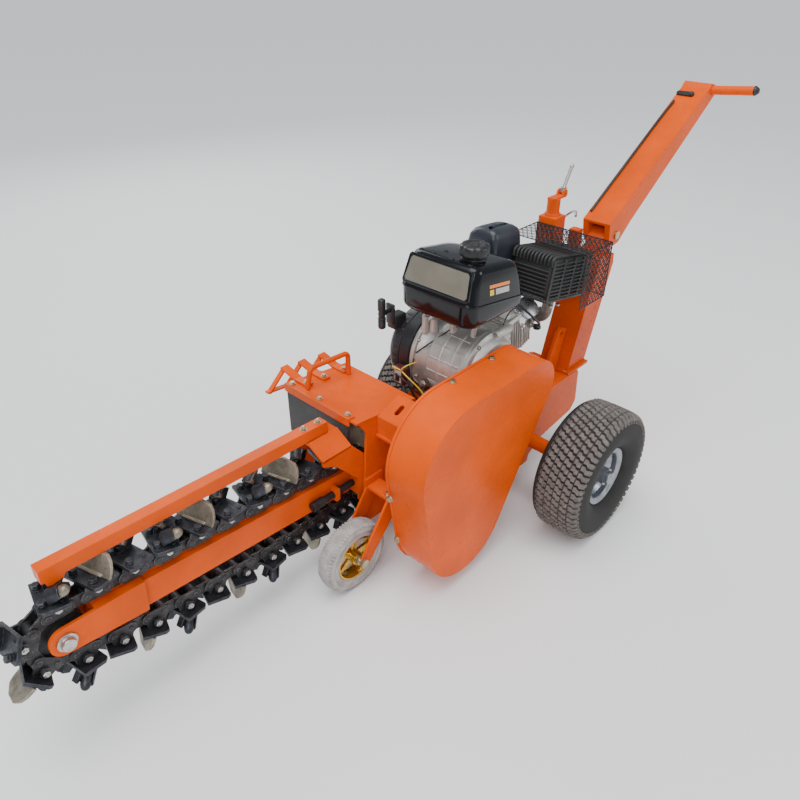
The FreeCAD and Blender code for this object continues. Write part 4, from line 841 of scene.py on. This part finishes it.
def exhaust_pipe():
    """Bent pipe with its collar and flange, and the bolts of the flange and the silencer."""
    work = bmesh.new()
    route = [(116, -42, 592), (113, -42, 560), (111, -38, 536), (110, -26, 523), (109, -10, 520),
             (109, -3, 520)]
    add_tube(work, route, 15.5, 20, 5)
    add_box(work, (85, -10.2, 500), (133, -4.6, 540), 3)
    add_round(work, (116, -42, 578), UP, peg(23, 5, 21, 6), 32)
    finish_piece("exhaust_pipe", work, "exhaust", "chassis")
    work = bmesh.new()
    for x, z in ((90, 505), (128, 535)):
        add_bolt(work, (x, -10.2, z), NEAR, 5.5, 6)
    for x in (98, 136):
        add_bolt(work, (x, -60, 571 - (x - 98) * 0.19), (0, 0, -1), 5, 5)
    finish_piece("exhaust_bolts", work, "bright", "chassis", 0)


def guard_rib(work, y, width, centre, turn):
    """One pressed rib: it runs back over the top and hangs over the front edge like a finger."""
    top = 63.5
    front = -105.8
    bend = 17.0
    path = [(104, top - 7), (99, top - 1.2), (92, top), (front + bend + 20, top)]
    for k in range(7):
        angle = math.pi / 2 + k / 6 * math.pi / 2
        path.append((front + bend + bend * math.cos(angle), top - bend + bend * math.sin(angle)))
    path += [(front, top - bend - 10), (front + 3.0, top - bend - 13)]
    half = width / 2
    depth = 4.5
    section = ((-half, depth), (-half, 1.8), (-half * 0.6, 0.0), (half * 0.6, 0.0), (half, 1.8), (half, depth))
    sections = []
    for k, (x, z) in enumerate(path):
        tangent = (Vector(path[min(len(path) - 1, k + 1)]) - Vector(path[max(0, k - 1)])).normalized()
        inward = Vector((-tangent.y, tangent.x))
        sections.append([(centre.x + x + inward.x * inset, y + across, centre.z + z + inward.y * inset)
                         for across, inset in section])
    add_loft(work, sections, tuple(centre), turn)


# ------------------------------------------------------------------ engine block
CRANK_X = -150.0
CRANK_Z = 465.0
CRANK = (CRANK_X, 0, CRANK_Z)
DRUM_START = 138.0
TANK_POSTS = ((-213, 124, 540, 590, 8.5), (-197, 108, 545, 583, 10.5), (-185, 52, 548, 582, 8.5),
              (-172, -6, 548, 586, 8.0))


def bolt_circle(work, count, start, reach, y, direction, size, height):
    """Evenly spaced bolts round the crankshaft's line; start is the first one's angle in degrees."""
    for k in range(count):
        angle = math.radians(360 / count * k + start)
        spot = (CRANK_X + reach * math.cos(angle), y, CRANK_Z + reach * math.sin(angle))
        add_bolt(work, spot, direction, size, height)


def crankcase():
    """Cast crankcase: bell with its rim, ribbed belly, mounts, feet and the posts under the tank."""
    work = bmesh.new()
    rim = DRUM_START - 1.0
    profile = [(rim, 0), (rim, 106), (rim - 1, 111.5), (rim - 10, 112), (rim - 12, 110), (rim - 13, 103),
               (rim - 26, 95), (rim - 40, 90), (rim - 48, 91), (rim - 51, 99), (rim - 54, 101), (60, 101.5),
               (52, 102), (50, 103.6), (46, 103.6), (44, 102), (12, 101), (10, 103), (6, 103), (4, 101),
               (-18, 100), (-20, 105), (-22, 107.5), (-31, 107.5), (-32, 106), (-33, 107.5), (-42, 107),
               (-45, 104), (-48, 96), (-60, 90), (-66, 84), (-69, 60), (-75, 56), (-75.5, 0)]
    add_round(work, CRANK, FAR, profile, 96)
    for k in range(7):
        add_box(work, (CRANK_X - 103.5, -18, CRANK_Z - 1.6), (CRANK_X - 92, 84, CRANK_Z + 1.6), 1.2,
                tilt(-64 + 21 * k), CRANK)
    add_box(work, (CRANK_X - 34, -60, 333.5), (CRANK_X + 142, 133, 408), 14, steps=4)
    for y0, y1 in ((-50, -20), (100, 134)):
        add_box(work, (CRANK_X - 64, y0, 333.2), (CRANK_X + 172, y1, 346), 3.5, steps=3)
    add_box(work, (CRANK_X - 30, -52, 520), (CRANK_X + 86, 60, 557), 13, tilt(4), (CRANK_X, 0, 540), 4)
    intake = [(CRANK_X + 14, -44, 561), (CRANK_X + 50, -46, 563), (CRANK_X + 92, -34, 552),
              (CRANK_X + 118, -14, 545)]
    add_tube(work, intake, 15.5, 18, 6, lambda u: 1.0 - 0.25 * u)
    for x, y, low, high, radius in TANK_POSTS:
        tall = high - low
        post = [(0, 0), (0, radius * 1.25), (tall - 14, radius), (tall - 1.5, radius),
                (tall, radius - 1.5), (tall, 0)]
        add_round(work, (x, y, low), UP, post, 24)
    shell = finish_piece("crankcase_casting", work, "alloy", "chassis", 30)
    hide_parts("crankcase")


def engine_bolts():
    """Bolts round the side cover and the drum and on the tank's posts, and two plugs in the front."""
    work = bmesh.new()
    bolt_circle(work, 10, 12, 101, -44.5, NEAR, 4.6, 5)
    bolt_circle(work, 6, 25, 106, DRUM_START - 12.5, NEAR, 4.2, 4)
    for x, y, _, high, _ in TANK_POSTS:
        add_bolt(work, (x, y, high - 1), UP, 5.2, 5)
    add_round(work, (-246, 96, 408), (-0.9, -0.2, 0.3),
              [(0, 0), (0, 11), (10, 11), (11, 8), (17, 7), (18, 0)], 6)
    add_round(work, (-243, 24, 398), (-0.9, -0.1, 0.2),
              [(0, 0), (0, 13), (8, 13), (9, 10), (14, 9), (15, 0)], 24)
    finish_piece("engine_bolts", work, "bright", "chassis", 30)


def governor_rods():
    """Thin rods that run over the crankcase."""
    work = bmesh.new()
    add_tube(work, [(-250, 122, 494), (-232, 98, 520), (-212, 76, 543), (-190, 55, 566)], 1.9, 8)
    add_tube(work, [(-190, 55, 566), (-174, 40, 574), (-120, 10, 583), (-60, -6, 588)], 1.7, 8)
    add_tube(work, [(-96, -42, 576), (-60, -30, 590), (-20, -20, 590), (6, -10, 584)], 1.7, 8)
    finish_piece("governor_rods", work, "black_steel", "chassis")


def cylinder():
    """Finned barrel and head with the valve cover."""
    work = bmesh.new()

    def block(near, length, half_up, y0, y1, soft):
        low = (CRANK_X + near, y0, CRANK_Z - half_up)
        high = (CRANK_X + near + length, y1, CRANK_Z + half_up)
        add_box(work, low, high, soft, tilt(-6), CRANK, 4)

    block(88, 120, 42, 14, 102, 20)
    for k in range(9):
        tall = 54 + 4 * math.sin(math.pi * k / 8)
        block(110 + 11 * k, 3.2, tall, -3.5, 119, 24)
    block(208, 7, 57, -4, 119.5, 26)
    for k in range(4):
        block(220 + 9 * k, 3.4, 55 - 2 * k, -3, 118, 24)
    block(214, 44, 40, 4, 112, 16)
    block(251, 26, 40, 8, 108, 14)
    barrel = finish_piece("cylinder_casting", work, "alloy", "chassis", 30)
    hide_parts("cylinder")


def linkage_plate():
    """Bright plate curved over the head, with the three-cornered flange at its foot."""
    work = bmesh.new()
    low_edge = (Vector((-6, -34, 546)), Vector((92, -30, 538)))
    crown = (Vector((-12, -32, 586)), Vector((98, -28, 574)))
    high_edge = (Vector((-10, 6, 592)), Vector((66, 2, 592)))
    steps = 8
    sections = []
    for k in range(steps + 1):
        t = k / steps
        ends = [a * (1 - t) ** 2 + b * 2 * t * (1 - t) + c * t * t
                for a, b, c in zip(low_edge, crown, high_edge)]
        under = Vector((0, 2.4 * (1 - t), -2.4 * t - 0.6))
        sections.append([ends[0], ends[1], ends[1] + under, ends[0] + under])
    add_loft(work, sections)
    flange = [(-6, -31, 552), (46, -27, 553), (14, -30, 518)]
    add_loft(work, [flange, [(x, y + 3.0, z - 0.5) for x, y, z in flange]])
    finish_piece("linkage_plate", work, "polished", "chassis", 40)


def head_bolts():
    """Bolts of the linkage plate and the body of the spark plug."""
    square_to_plate = (0.1, -0.45, 0.8)
    work = bmesh.new()
    add_bolt(work, (4, -20, 568), square_to_plate, 6, 6)
    add_bolt(work, (14, -31, 530), NEAR, 5, 5)
    add_bolt(work, (84, -12, 566), square_to_plate, 5, 5)
    plug = [(0, 0), (0, 9), (8, 9), (8, 6), (20, 6), (20, 3), (26, 3), (26, 0)]
    add_round(work, (84, -8, 500), (0.1, -1, 0.1), plug, 16)
    finish_piece("head_bolts", work, "bright", "chassis", 0)


def throttle_linkage():
    """Row of bent rods on their bracket over the crankcase."""
    work = bmesh.new()
    for k in range(5):
        y = -22 + 9 * k
        add_tube(work, [(-70 + 4 * k, y, 566), (-40 + 6 * k, y - 4, 580 - 3 * k), (-12 + 4 * k, y - 2, 570)],
                 2.6, 8)
    add_box(work, (-74, -40, 560), (-8, -34, 572), 2, tilt(-8), (-40, 0, 566))
    add_box(work, (-60, -30, 572), (-20, 20, 576), 1.5)
    finish_piece("throttle_linkage", work, "alloy", "chassis")


def plug_lead():
    """Lead from the spark plug's cap over the linkage plate."""
    work = bmesh.new()
    route = [(92, -30, 502), (74, -46, 520), (30, -44, 560), (0, -10, 596), (-20, 40, 606), (-60, 90, 600)]
    add_tube(work, route, 3.6, 10)
    add_round(work, (84, -26, 500), (0.1, -1, 0.1), [(0, 0), (0, 8), (4, 9), (14, 8), (18, 5), (18, 0)], 20)
    finish_piece("plug_lead", work, "black", "chassis")


def recoil_starter():
    """Ribbed starter drum with its cooling slots, rope mouth and bolts."""
    work = bmesh.new()
    rib = DRUM_START + 31
    profile = [(DRUM_START, 0), (DRUM_START, 112), (DRUM_START + 2, 115.5), (rib - 1, 116), (rib, 113.5),
               (rib + 3, 113.5), (rib + 4, 116), (196, 116), (206, 112), (214, 104), (224, 92),
               (231, 78), (232, 60), (229, 56), (229, 40), (232, 36), (233.5, 28), (233.8, 0)]
    add_round(work, CRANK, FAR, profile, 96)
    for k in range(18):
        add_box(work, (CRANK_X + 44, 226, CRANK_Z - 3), (CRANK_X + 74, 233.6, CRANK_Z + 3), 1.5,
                tilt(20 * k), CRANK)
    for k in range(30):
        add_box(work, (CRANK_X + 108, 178, CRANK_Z - 4), (CRANK_X + 117.2, 197, CRANK_Z + 4), 1.5,
                tilt(12 * k + 4), CRANK)
    left = in_millimetres(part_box("recoil_housing"))[0].x
    add_box(work, (CRANK_X - 112, 186, CRANK_Z + 76), (CRANK_X - 66, 219, CRANK_Z + 116), 6, steps=4)
    add_box(work, (left + 0.3, 188, CRANK_Z + 93), (left + 9, 216, CRANK_Z + 151), 3, steps=3)
    mouth = [(0, 0), (0, 13), (8, 12), (9, 10), (9, 0)]
    add_round(work, (left + 10, 202, CRANK_Z + 133), (-1, 0, 0), mouth, 24)
    drum = finish_piece("starter_drum", work, "black", "chassis", 30)
    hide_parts("recoil_housing")
    work = bmesh.new()
    bolt_circle(work, 6, 10, 108, 199.5, FAR, 4.4, 5)
    finish_piece("starter_bolts", work, "bright", "chassis", 0)


def pull_grip():
    """Banded grip of the starter on its stem, and its rope."""
    low, high = in_millimetres(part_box("recoil_handle"))
    centre = Vector((low.x + 11, (low.y + high.y) / 2, (low.z + high.z) / 2))
    foot = Vector((centre.x, centre.y, low.z))
    tall = high.z - low.z
    deep = high.x - low.x
    grip = [(0, 0), (0, 7), (2, 9.5), (6, 10.6), (tall * 0.25, 9.2), (tall * 0.40, 8.6), (tall * 0.5, 10.4),
            (tall * 0.60, 8.6), (tall * 0.75, 9.2), (tall - 6, 10.6), (tall - 2, 9.5), (tall, 7), (tall, 0)]
    stem = [(0, 0), (0, 8), (14, 7), (17, 5.5), (deep - 11.4, 5.5), (deep - 11.2, 0)]
    band = [(0, 0), (0, 10.7), (1.6, 10.7), (1.6, 0)]
    work = bmesh.new()
    add_round(work, foot, UP, grip, 32)
    add_round(work, centre, BACK, stem, 24)
    for k in range(5):
        add_round(work, foot + UP * (9 + 5 * k), UP, band, 32)
        add_round(work, foot + UP * (tall - 11 - 5 * k), UP, band, 32)
    handle = finish_piece("pull_grip", work, "black", "recoil_grip", 40)
    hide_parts("recoil_handle")
    starter_rope(centre, deep - 16)


def starter_rope(grip, length):
    """Straight rope from the grip towards the mouth it runs out of."""
    thick = 2.2
    rings = 40
    sides = 10
    angles = [2 * math.pi * j / sides for j in range(sides)]
    section = [(grip.y + thick * math.cos(angle), grip.z + thick * math.sin(angle)) for angle in angles]
    work = bmesh.new()
    add_loft(work, [[(grip.x + length * k / rings, y, z) for y, z in section] for k in range(rings + 1)])
    rope = finish_piece("starter_rope", work, "black", None, 50)
    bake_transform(rope)


def switch_and_wires():
    """Ignition switch box with its rocker, face plate and the loose wires in front of it."""
    low, high = in_millimetres(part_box("switch_box"))
    x0, y0, z0 = high.x - 26, low.y, low.z
    x1, y1, z1 = high
    work = bmesh.new()
    add_box(work, (x0, y0, z0), (x1, y1, z1), 4, steps=4)
    box = finish_piece("switch_case", work, "maroon", "chassis")
    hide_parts("switch_box")
    work = bmesh.new()
    add_box(work, (x0 - 1.2, y0 + 7, z0 + 8), (x0 + 1, y1 - 7, z1 - 8), 1.0)
    finish_piece("switch_face", work, "label_pale", "chassis")
    work = bmesh.new()
    add_box(work, (x0 - 6.5, y0 + 12, z0 + 14), (x0 - 0.5, y1 - 14, z1 - 18), 2.0,
            Matrix.Rotation(0.12, 3, "Y"), (x0, y0, z0 + 20))
    finish_piece("switch_rocker", work, "black", "chassis")
    work = bmesh.new()
    add_tube(work, [(x0 - 1, 152, z1 - 6), (x0 - 8, 158, z1 + 4), (x0 - 7, 130, z1 + 2),
                    (x0 - 6, 104, z1 - 10), (x0 + 4, 80, 424), (x0 + 14, 58, 398), (x0 + 26, 36, 382)],
             2.1, 8)
    add_tube(work, [(x0 - 7, 130, z1 + 2), (x0 - 9, 120, z1 + 14), (x0 - 2, 112, z1 + 22),
                    (-262, 108, z1 + 20)], 1.8, 8)
    finish_piece("yellow_lead", work, "wire_yellow", "chassis")
    work = bmesh.new()
    add_tube(work, [(x0 + 6, 132, z0 + 2), (x0 - 2, 116, 388), (x0 + 2, 92, 372), (x0 + 14, 64, 366),
                    (x0 + 28, 44, 364)], 5.0, 10)
    add_tube(work, [(x0 - 2, 108, z1 - 12), (x0 - 6, 96, 420), (x0, 84, 392), (x0 + 10, 74, 372)], 3.6, 10)
    add_tube(work, [(-262, 118, z1 + 26), (x0, 100, z1 + 4), (x0 + 4, 88, 424), (x0 + 16, 60, 402),
                    (-262, 30, 400)], 2.4, 8)
    finish_piece("black_leads", work, "black", "chassis")


# ------------------------------------------------------------------ mesh guard
def wire_panel(work, corner, across, up, width, height, thick):
    """Diamond mesh cut square: two sets of slanted wires within a rectangle, and a wire along each edge."""
    pitch = 15.0
    rise = 1.35
    corner, across, up = Vector(corner), Vector(across), Vector(up)

    def spot(u, v):
        return tuple(corner + across * u + up * v)

    for way in (1, -1):
        start = -height / rise if way > 0 else 0.0
        stop = width if way > 0 else width + height / rise
        u0 = start
        while u0 < stop:
            low_v = max(0.0, -u0 * rise) if way > 0 else max(0.0, (u0 - width) * rise)
            high_v = min(height, (width - u0) * rise) if way > 0 else min(height, u0 * rise)
            if high_v - low_v > 4:
                lift = thick * 0.5 * way
                ends = [spot(u0 + way * v / rise, v) for v in (low_v, high_v)]
                shift = across.cross(up) * lift
                add_tube(work, [tuple(Vector(end) + shift) for end in ends], thick, 6, 1)
            u0 += pitch
    edges = (((0, 0), (0, height)), ((width, 0), (width, height)),
             ((0, 0), (width, 0)), ((0, height), (width, height)))
    for first, last in edges:
        add_tube(work, [spot(*first), spot(*last)], thick * 1.35, 8, 1)


def mesh_guard():
    """Wire mesh round the hot end of the muffler: column side, top strip and near strip."""
    low, high = in_millimetres(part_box("mesh_guard"))
    inset = Vector((2.0, 2.0, 2.0))
    x0, y0, z0 = low + inset
    x1, y1, z1 = high - inset
    thick = 1.15
    reach = 70.0
    work = bmesh.new()
    wire_panel(work, (x1, y0, z0), FAR, UP, y1 - y0, z1 - z0, thick)
    wire_panel(work, (x0 - reach, y0, z1), FAR, BACK, y1 - y0, x1 - x0 + reach, thick)
    wire_panel(work, (x0 - reach, y0, z0), BACK, UP, x1 - x0 + reach, z1 - z0, thick)
    mesh = finish_piece("wire_mesh", work, "black", "chassis", 40)
    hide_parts("mesh_guard")


# ------------------------------------------------------------------ grip and bar bolts
def grip_bar():
    """Painted grip tube, bent up a little, with a dark plug in its end."""
    low, high = in_millimetres(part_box("grip_bar"))
    x = (low.x + high.x) / 2
    tube = 13.0
    plug = 14.5
    bend = in_millimetres(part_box("handle_arm"))[0].y - 6
    z = low.z + tube
    start = Vector((x, bend, z))
    tip = Vector((x, bend - 118, high.z - plug))
    outward = (tip - start).normalized()
    work = bmesh.new()
    route = [(x, high.y, z), (x, bend + 40, z), (x, bend + 12, z), tuple(start + outward * 12),
             tuple(start + outward * 60), tuple(tip)]
    add_tube(work, route, tube, 28, 4)
    bar = finish_piece("grip_tube", work, "orange", "handle", 40)
    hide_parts("grip_bar")
    work = bmesh.new()
    end = [(-1.5, 0), (-1.5, 13.4), (0, 14.2), (1.2, 14.2), (10, 8.6), (11.6, 7.0), (11.9, 0)]
    add_round(work, tip + outward * 0.2, outward, end, 32)
    finish_piece("grip_plug", work, "black", "handle", 40)


def bar_bolts():
    """Two bolts with nuts and washers through the inner end of the restraint bar."""
    low, high = in_millimetres(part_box("restraint_bar"))
    fall = math.tan(math.radians(1.6))
    y = (low.y + high.y) / 2
    work = bmesh.new()
    for back in (18, 62):
        x = high.x - back
        z = high.z - (x - low.x) * fall - 0.6
        add_round(work, (x, y, z), UP, [(0, 0), (0, 9.0), (1.4, 9.0), (1.6, 0)], 24)
        add_round(work, (x, y, z + 1.4), UP, peg(6.4, 4.6, 5.4, 5.4), 6)
        add_round(work, (x, y, z + 6.4), UP, peg(3.6, 3.4, 3.0, 4.0), 16)
    finish_piece("bar_bolts", work, "yellow_zinc", "boom", 0)


# ------------------------------------------------------------------ digging chain
PITCH = 38.1
LINKS = 56
HEAD_RADIUS = PITCH / 2 / math.sin(math.pi / 8)
NOSE_RADIUS = 61.65
FIRST_LINK = 72.0


def chain_path(sag):
    """Pitch line round the two wheels in boom axes: along from the head shaft, up from the centre line."""
    head = middle("head_shaft")
    nose_axis = middle("nose_roller")
    nose = (Vector((head.x, 0, head.z)) - Vector((nose_axis.x, 0, nose_axis.z))).length / MM
    lean = math.asin((NOSE_RADIUS - HEAD_RADIUS) / nose)
    fall = math.atan(4 * sag / nose)
    path = [Vector((HEAD_RADIUS * math.cos(math.pi / 2 + lean), HEAD_RADIUS * math.sin(math.pi / 2 + lean)))]

    def arc(centre, radius, start, end):
        for k in range(241):
            angle = start + (end - start) * k / 240
            path.append(Vector((centre + radius * math.cos(angle), radius * math.sin(angle))))

    arc(nose, NOSE_RADIUS, math.pi / 2 + lean, -math.pi / 2 + fall)
    leave = path[-1]
    arrive = Vector((HEAD_RADIUS * math.cos(-math.pi / 2 - fall), HEAD_RADIUS * math.sin(-math.pi / 2 - fall)))
    for k in range(1, 400):
        share = k / 400
        spot = leave.lerp(arrive, share)
        path.append(Vector((spot.x, spot.y - 4 * sag * share * (1 - share))))
    arc(0, HEAD_RADIUS, -math.pi / 2 - fall, -3 * math.pi / 2 + lean)
    return path


def chain_walk(sag):
    """Rigid links stepped round the path; gives the pins and the last link's overshoot."""
    path = chain_path(sag)
    lengths = [0.0]
    for before, after in zip(path, path[1:]):
        lengths.append(lengths[-1] + (after - before).length)
    total = lengths[-1]

    def spot(distance):
        distance = distance % total
        index = min(bisect.bisect_right(lengths, distance), len(path) - 1) - 1
        span = max(lengths[index + 1] - lengths[index], 1e-9)
        return path[index].lerp(path[index + 1], (distance - lengths[index]) / span)

    distance = FIRST_LINK
    pins = [spot(distance)]
    for _ in range(LINKS):
        following = distance + PITCH
        for _ in range(4):
            following += PITCH - (spot(following) - pins[-1]).length
        distance = following
        pins.append(spot(distance))
    return pins[:-1], distance - FIRST_LINK - total


def link_frames():
    """One matrix for each link: X from pin to pin, Z outwards, in axle-line millimetres."""
    low, high = 5.0, 80.0
    for _ in range(40):
        sag = (low + high) / 2
        pins, over = chain_walk(sag)
        if over > 0:
            low = sag
        else:
            high = sag
    head = middle("head_shaft")
    nose = middle("nose_roller")
    along = Vector((nose.x - head.x, 0, nose.z - head.z)).normalized()
    up = Vector((along.z, 0, -along.x))
    base = Vector(((head.x - AXLE) / MM, middle("digging_chain").y / MM, head.z / MM))
    frames = []
    for k, pin in enumerate(pins):
        following = pins[(k + 1) % LINKS]
        centre = (pin + following) / 2
        heading = (following - pin).normalized()
        travel = along * heading.x + up * heading.y
        outward = Vector((0, 1, 0)).cross(travel)
        turn = Matrix((travel, Vector((0, -1, 0)), outward)).transposed()
        frames.append((base + along * centre.x + up * centre.y, turn))
    return frames


BASE_TOP = 36.2
SKEWS = (18, -12, 14)


def local_adder(work, origin, turn):
    """Add pieces in a link's own axes: what the maker adds is turned and moved into place."""
    def add(maker, *values, **options):
        scratch = bmesh.new()
        maker(scratch, *values, **options)
        for v in scratch.verts:
            spot = (v.co - at(0, 0, 0)) / MM
            v.co = at(*(origin + turn @ spot))
        mesh = bpy.data.meshes.new("scratch")
        scratch.to_mesh(mesh)
        scratch.free()
        work.from_mesh(mesh)
        bpy.data.meshes.remove(mesh)
    return add


def flag_blade(work):
    """Standing plate with a rounded top, rolled a little about its height, on a short foot."""
    outline = [(-49, 1), (-49.5, 20), (-44, 34), (-34, 43), (0, 46.5), (34, 43), (44, 34), (49.5, 20),
               (49, 1)]
    sections = []
    for depth in (0.0, 6.5):
        ring = []
        for y, z in outline:
            curl = 5.0 * (y / 49) ** 2
            ring.append((-13 - z * 0.33 + depth + curl, y, BASE_TOP + 0.3 + z))
        sections.append(ring)
    add_loft(work, sections)
    add_box(work, (-11, -30, BASE_TOP + 0.2), (2, 30, BASE_TOP + 6), 2.0)


def tooth_axis(side):
    """Direction and root of a tooth that points out to one side."""
    return Vector((-0.66, side * 0.52, 0.54)).normalized(), Vector((-4, side * 22, BASE_TOP + 13))


def cup_tooth(work, side):
    """Blunt conical tooth that points out to one side."""
    lean, root = tooth_axis(side)
    profile = [(0, 0), (0, 12.0), (6, 13.2), (9, 13.4), (10, 12.4), (22, 12.0), (34, 11.0), (40, 9.0),
               (44, 6.0), (45.5, 2.5), (45.8, 0)]
    add_round(work, root - lean * 4, lean, profile, 28)


def cup_shell(work, side):
    """Curved plate that backs a tooth."""
    along, root = tooth_axis(side)
    back = Vector((1, 0, 0.25))
    back = (back - along * back.dot(along)).normalized()
    across = along.cross(back)
    steps = 8
    rings = []
    for distance, trim, dip in ((-2.0, 1.0, 0.0), (31.0, 0.9, 6.0)):
        ring = []
        for radius, order in ((14.4, range(steps + 1)), (16.8, range(steps, -1, -1))):
            for k in order:
                angle = math.radians(-70 + 140 * k / steps)
                reach = back * math.cos(angle) + across * math.sin(angle)
                ring.append(root + along * (distance - dip * abs(2 * k / steps - 1)) + reach * radius * trim)
        rings.append(ring)
    add_loft(work, rings)


def cutters():
    """Teeth, blades, shells, bolts and nuts on every second link; teeth on the lower run take the dark base
    steel as painted shade.
    """
    bolt_side = 26
    nut_side = 26.8
    pin_height = 16
    level_run = -0.3
    blades, teeth, underside_teeth_painted_shade, washers, shells, heads, nuts = (bmesh.new() for _ in range(7))
    rng = random.Random(7)
    for k, (origin, turn) in enumerate(link_frames()):
        if k % 2 == 0:
            continue
        pattern = (k // 2) % 3
        skew = turn @ Matrix.Rotation(math.radians(SKEWS[pattern]), 3, "Z")
        if pattern == 0:
            local_adder(blades, origin, skew)(flag_blade)
        for side in ((), (-1, 1), (-1,))[pattern]:
            # teeth whose outward side faces down, on the lower run, go into a mesh with the dark base steel:
            # painted shade under the boom on the same teeth
            local_adder(teeth if turn.col[2].z > level_run else underside_teeth_painted_shade, origin, skew)(cup_tooth, side)
            local_adder(shells, origin, skew)(cup_shell, side)
        add = local_adder(heads, origin, skew)
        for y in (-bolt_side, bolt_side):
            add(add_round, (16, y, BASE_TOP + 5.9), UP,
                [(0, 0), (0, 8.4), (1.0, 8.6), (5.5, 8.6), (6.6, 7.4), (6.6, 0)], 6)
        for x, y in ((-18, -30), (-16, 31), (2, -38)):
            size = rng.uniform(3.4, 4.6)
            add(add_round, (x, y, BASE_TOP - 0.5), UP, peg(size, 2.0, size * 0.6, 3.0), 12)
        add = local_adder(nuts, origin, turn)
        for way in (-1, 1):
            out = (0, way, 0)
            local_adder(washers, origin, turn)(add_round, (0, way * nut_side, pin_height), out,
                                               [(0, 0), (0, 10.5), (1.5, 10.5), (1.7, 0)], 24)
            add(add_round, (0, way * (nut_side + 1.4), pin_height), out, peg(8.0, 4.6, 6.8, 5.6), 6)
            add(add_round, (0, way * (nut_side + 6.0), pin_height), out, peg(3.8, 2.4, 3.0, 3.0), 12)
    flags = finish_piece("cutter_blades", blades, "tan", "boom", 30)
    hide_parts("flag_cutters")
    cups = finish_piece("cutter_teeth", teeth, "tooth", "boom", 40)
    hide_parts("cup_cutters")
    # the lower run's teeth in the dark base steel, as painted shade
    finish_piece("underside_teeth_painted_shade", underside_teeth_painted_shade, "base", "boom", 40)
    finish_piece("nut_washers", washers, "base", "boom", 40)
    finish_piece("tooth_shells", shells, "base", "boom", 40)
    finish_piece("cutter_bolts", heads, "base", "boom", 0)
    finish_piece("chain_nuts", nuts, "bright", "boom", 0)


# ------------------------------------------------------------------ room
def add_lamp(name, light, aim, place=(0, 0, 0)):
    """Put a light in the scene, shining along aim."""
    lamp = bpy.data.objects.new(name, light)
    lamp.location = place
    lamp.rotation_euler = Vector(aim).to_track_quat("-Z", "Y").to_euler()
    bpy.context.scene.collection.objects.link(lamp)


def studio():
    """Pale floor, room light and lamps."""
    bpy.ops.mesh.primitive_plane_add(size=90, location=(0, 0, 0))
    floor = bpy.context.active_object
    floor.name = "floor"
    made = Shader("floor")
    floor.data.materials.append(made.finish((0.86, 0.86, 0.86), 0.7, specular=0.2))
    world = bpy.data.worlds.new("room")
    world.use_nodes = True
    world.node_tree.nodes["Background"].inputs["Color"].default_value = (0.86, 0.93, 1.0, 1)
    world.node_tree.nodes["Background"].inputs["Strength"].default_value = 0.42
    bpy.context.scene.world = world
    for name, place, target, size, power in (
            ("sky", (-0.8, 0.2, 4.2), (0, 0, 0.2), 3.6, 90),
            ("front", (-3.4, -2.6, 3.0), (-0.2, 0, 0.3), 2.0, 75),
            ("side", (2.2, -3.6, 2.2), (0.2, 0, 0.4), 1.6, 40),
            ("rear", (1.2, 3.6, 2.6), (0, 0, 0.4), 2.4, 50)):
        light = bpy.data.lights.new(name, "AREA")
        light.size = size
        light.energy = power
        add_lamp(name, light, Vector(target) - Vector(place), place)
    light = bpy.data.lights.new("overhead", "SUN")
    light.energy = 1.9
    light.angle = math.radians(50)
    add_lamp("overhead", light, (0.25, 0.12, -1.0))


def camera():
    """Camera in front of the near side, looking down at the machine."""
    azimuth = math.radians(-46.68)
    elevation = math.radians(33.01)
    back = Vector((math.sin(azimuth) * math.cos(elevation), -math.cos(azimuth) * math.cos(elevation),
                   math.sin(elevation)))
    right = Vector((math.cos(azimuth), math.sin(azimuth), 0))
    place = at(-1473.8, -973.8, 1411.4)
    data = bpy.data.cameras.new("camera")
    data.lens = 31.79
    data.sensor_width = 36
    obj = bpy.data.objects.new("camera", data)
    turn = Matrix((right, back.cross(right), back)).transposed().to_4x4()
    obj.matrix_world = Matrix.Translation(place) @ turn
    bpy.context.scene.collection.objects.link(obj)
    bpy.context.scene.camera = obj


fuel_tank()
fuel_cap()
air_cleaner()
silencer()
exhaust_pipe()
crankcase()
engine_bolts()
governor_rods()
cylinder()
linkage_plate()
head_bolts()
throttle_linkage()
plug_lead()
recoil_starter()
pull_grip()
switch_and_wires()
mesh_guard()
grip_bar()
bar_bolts()
cutters()
studio()
camera()
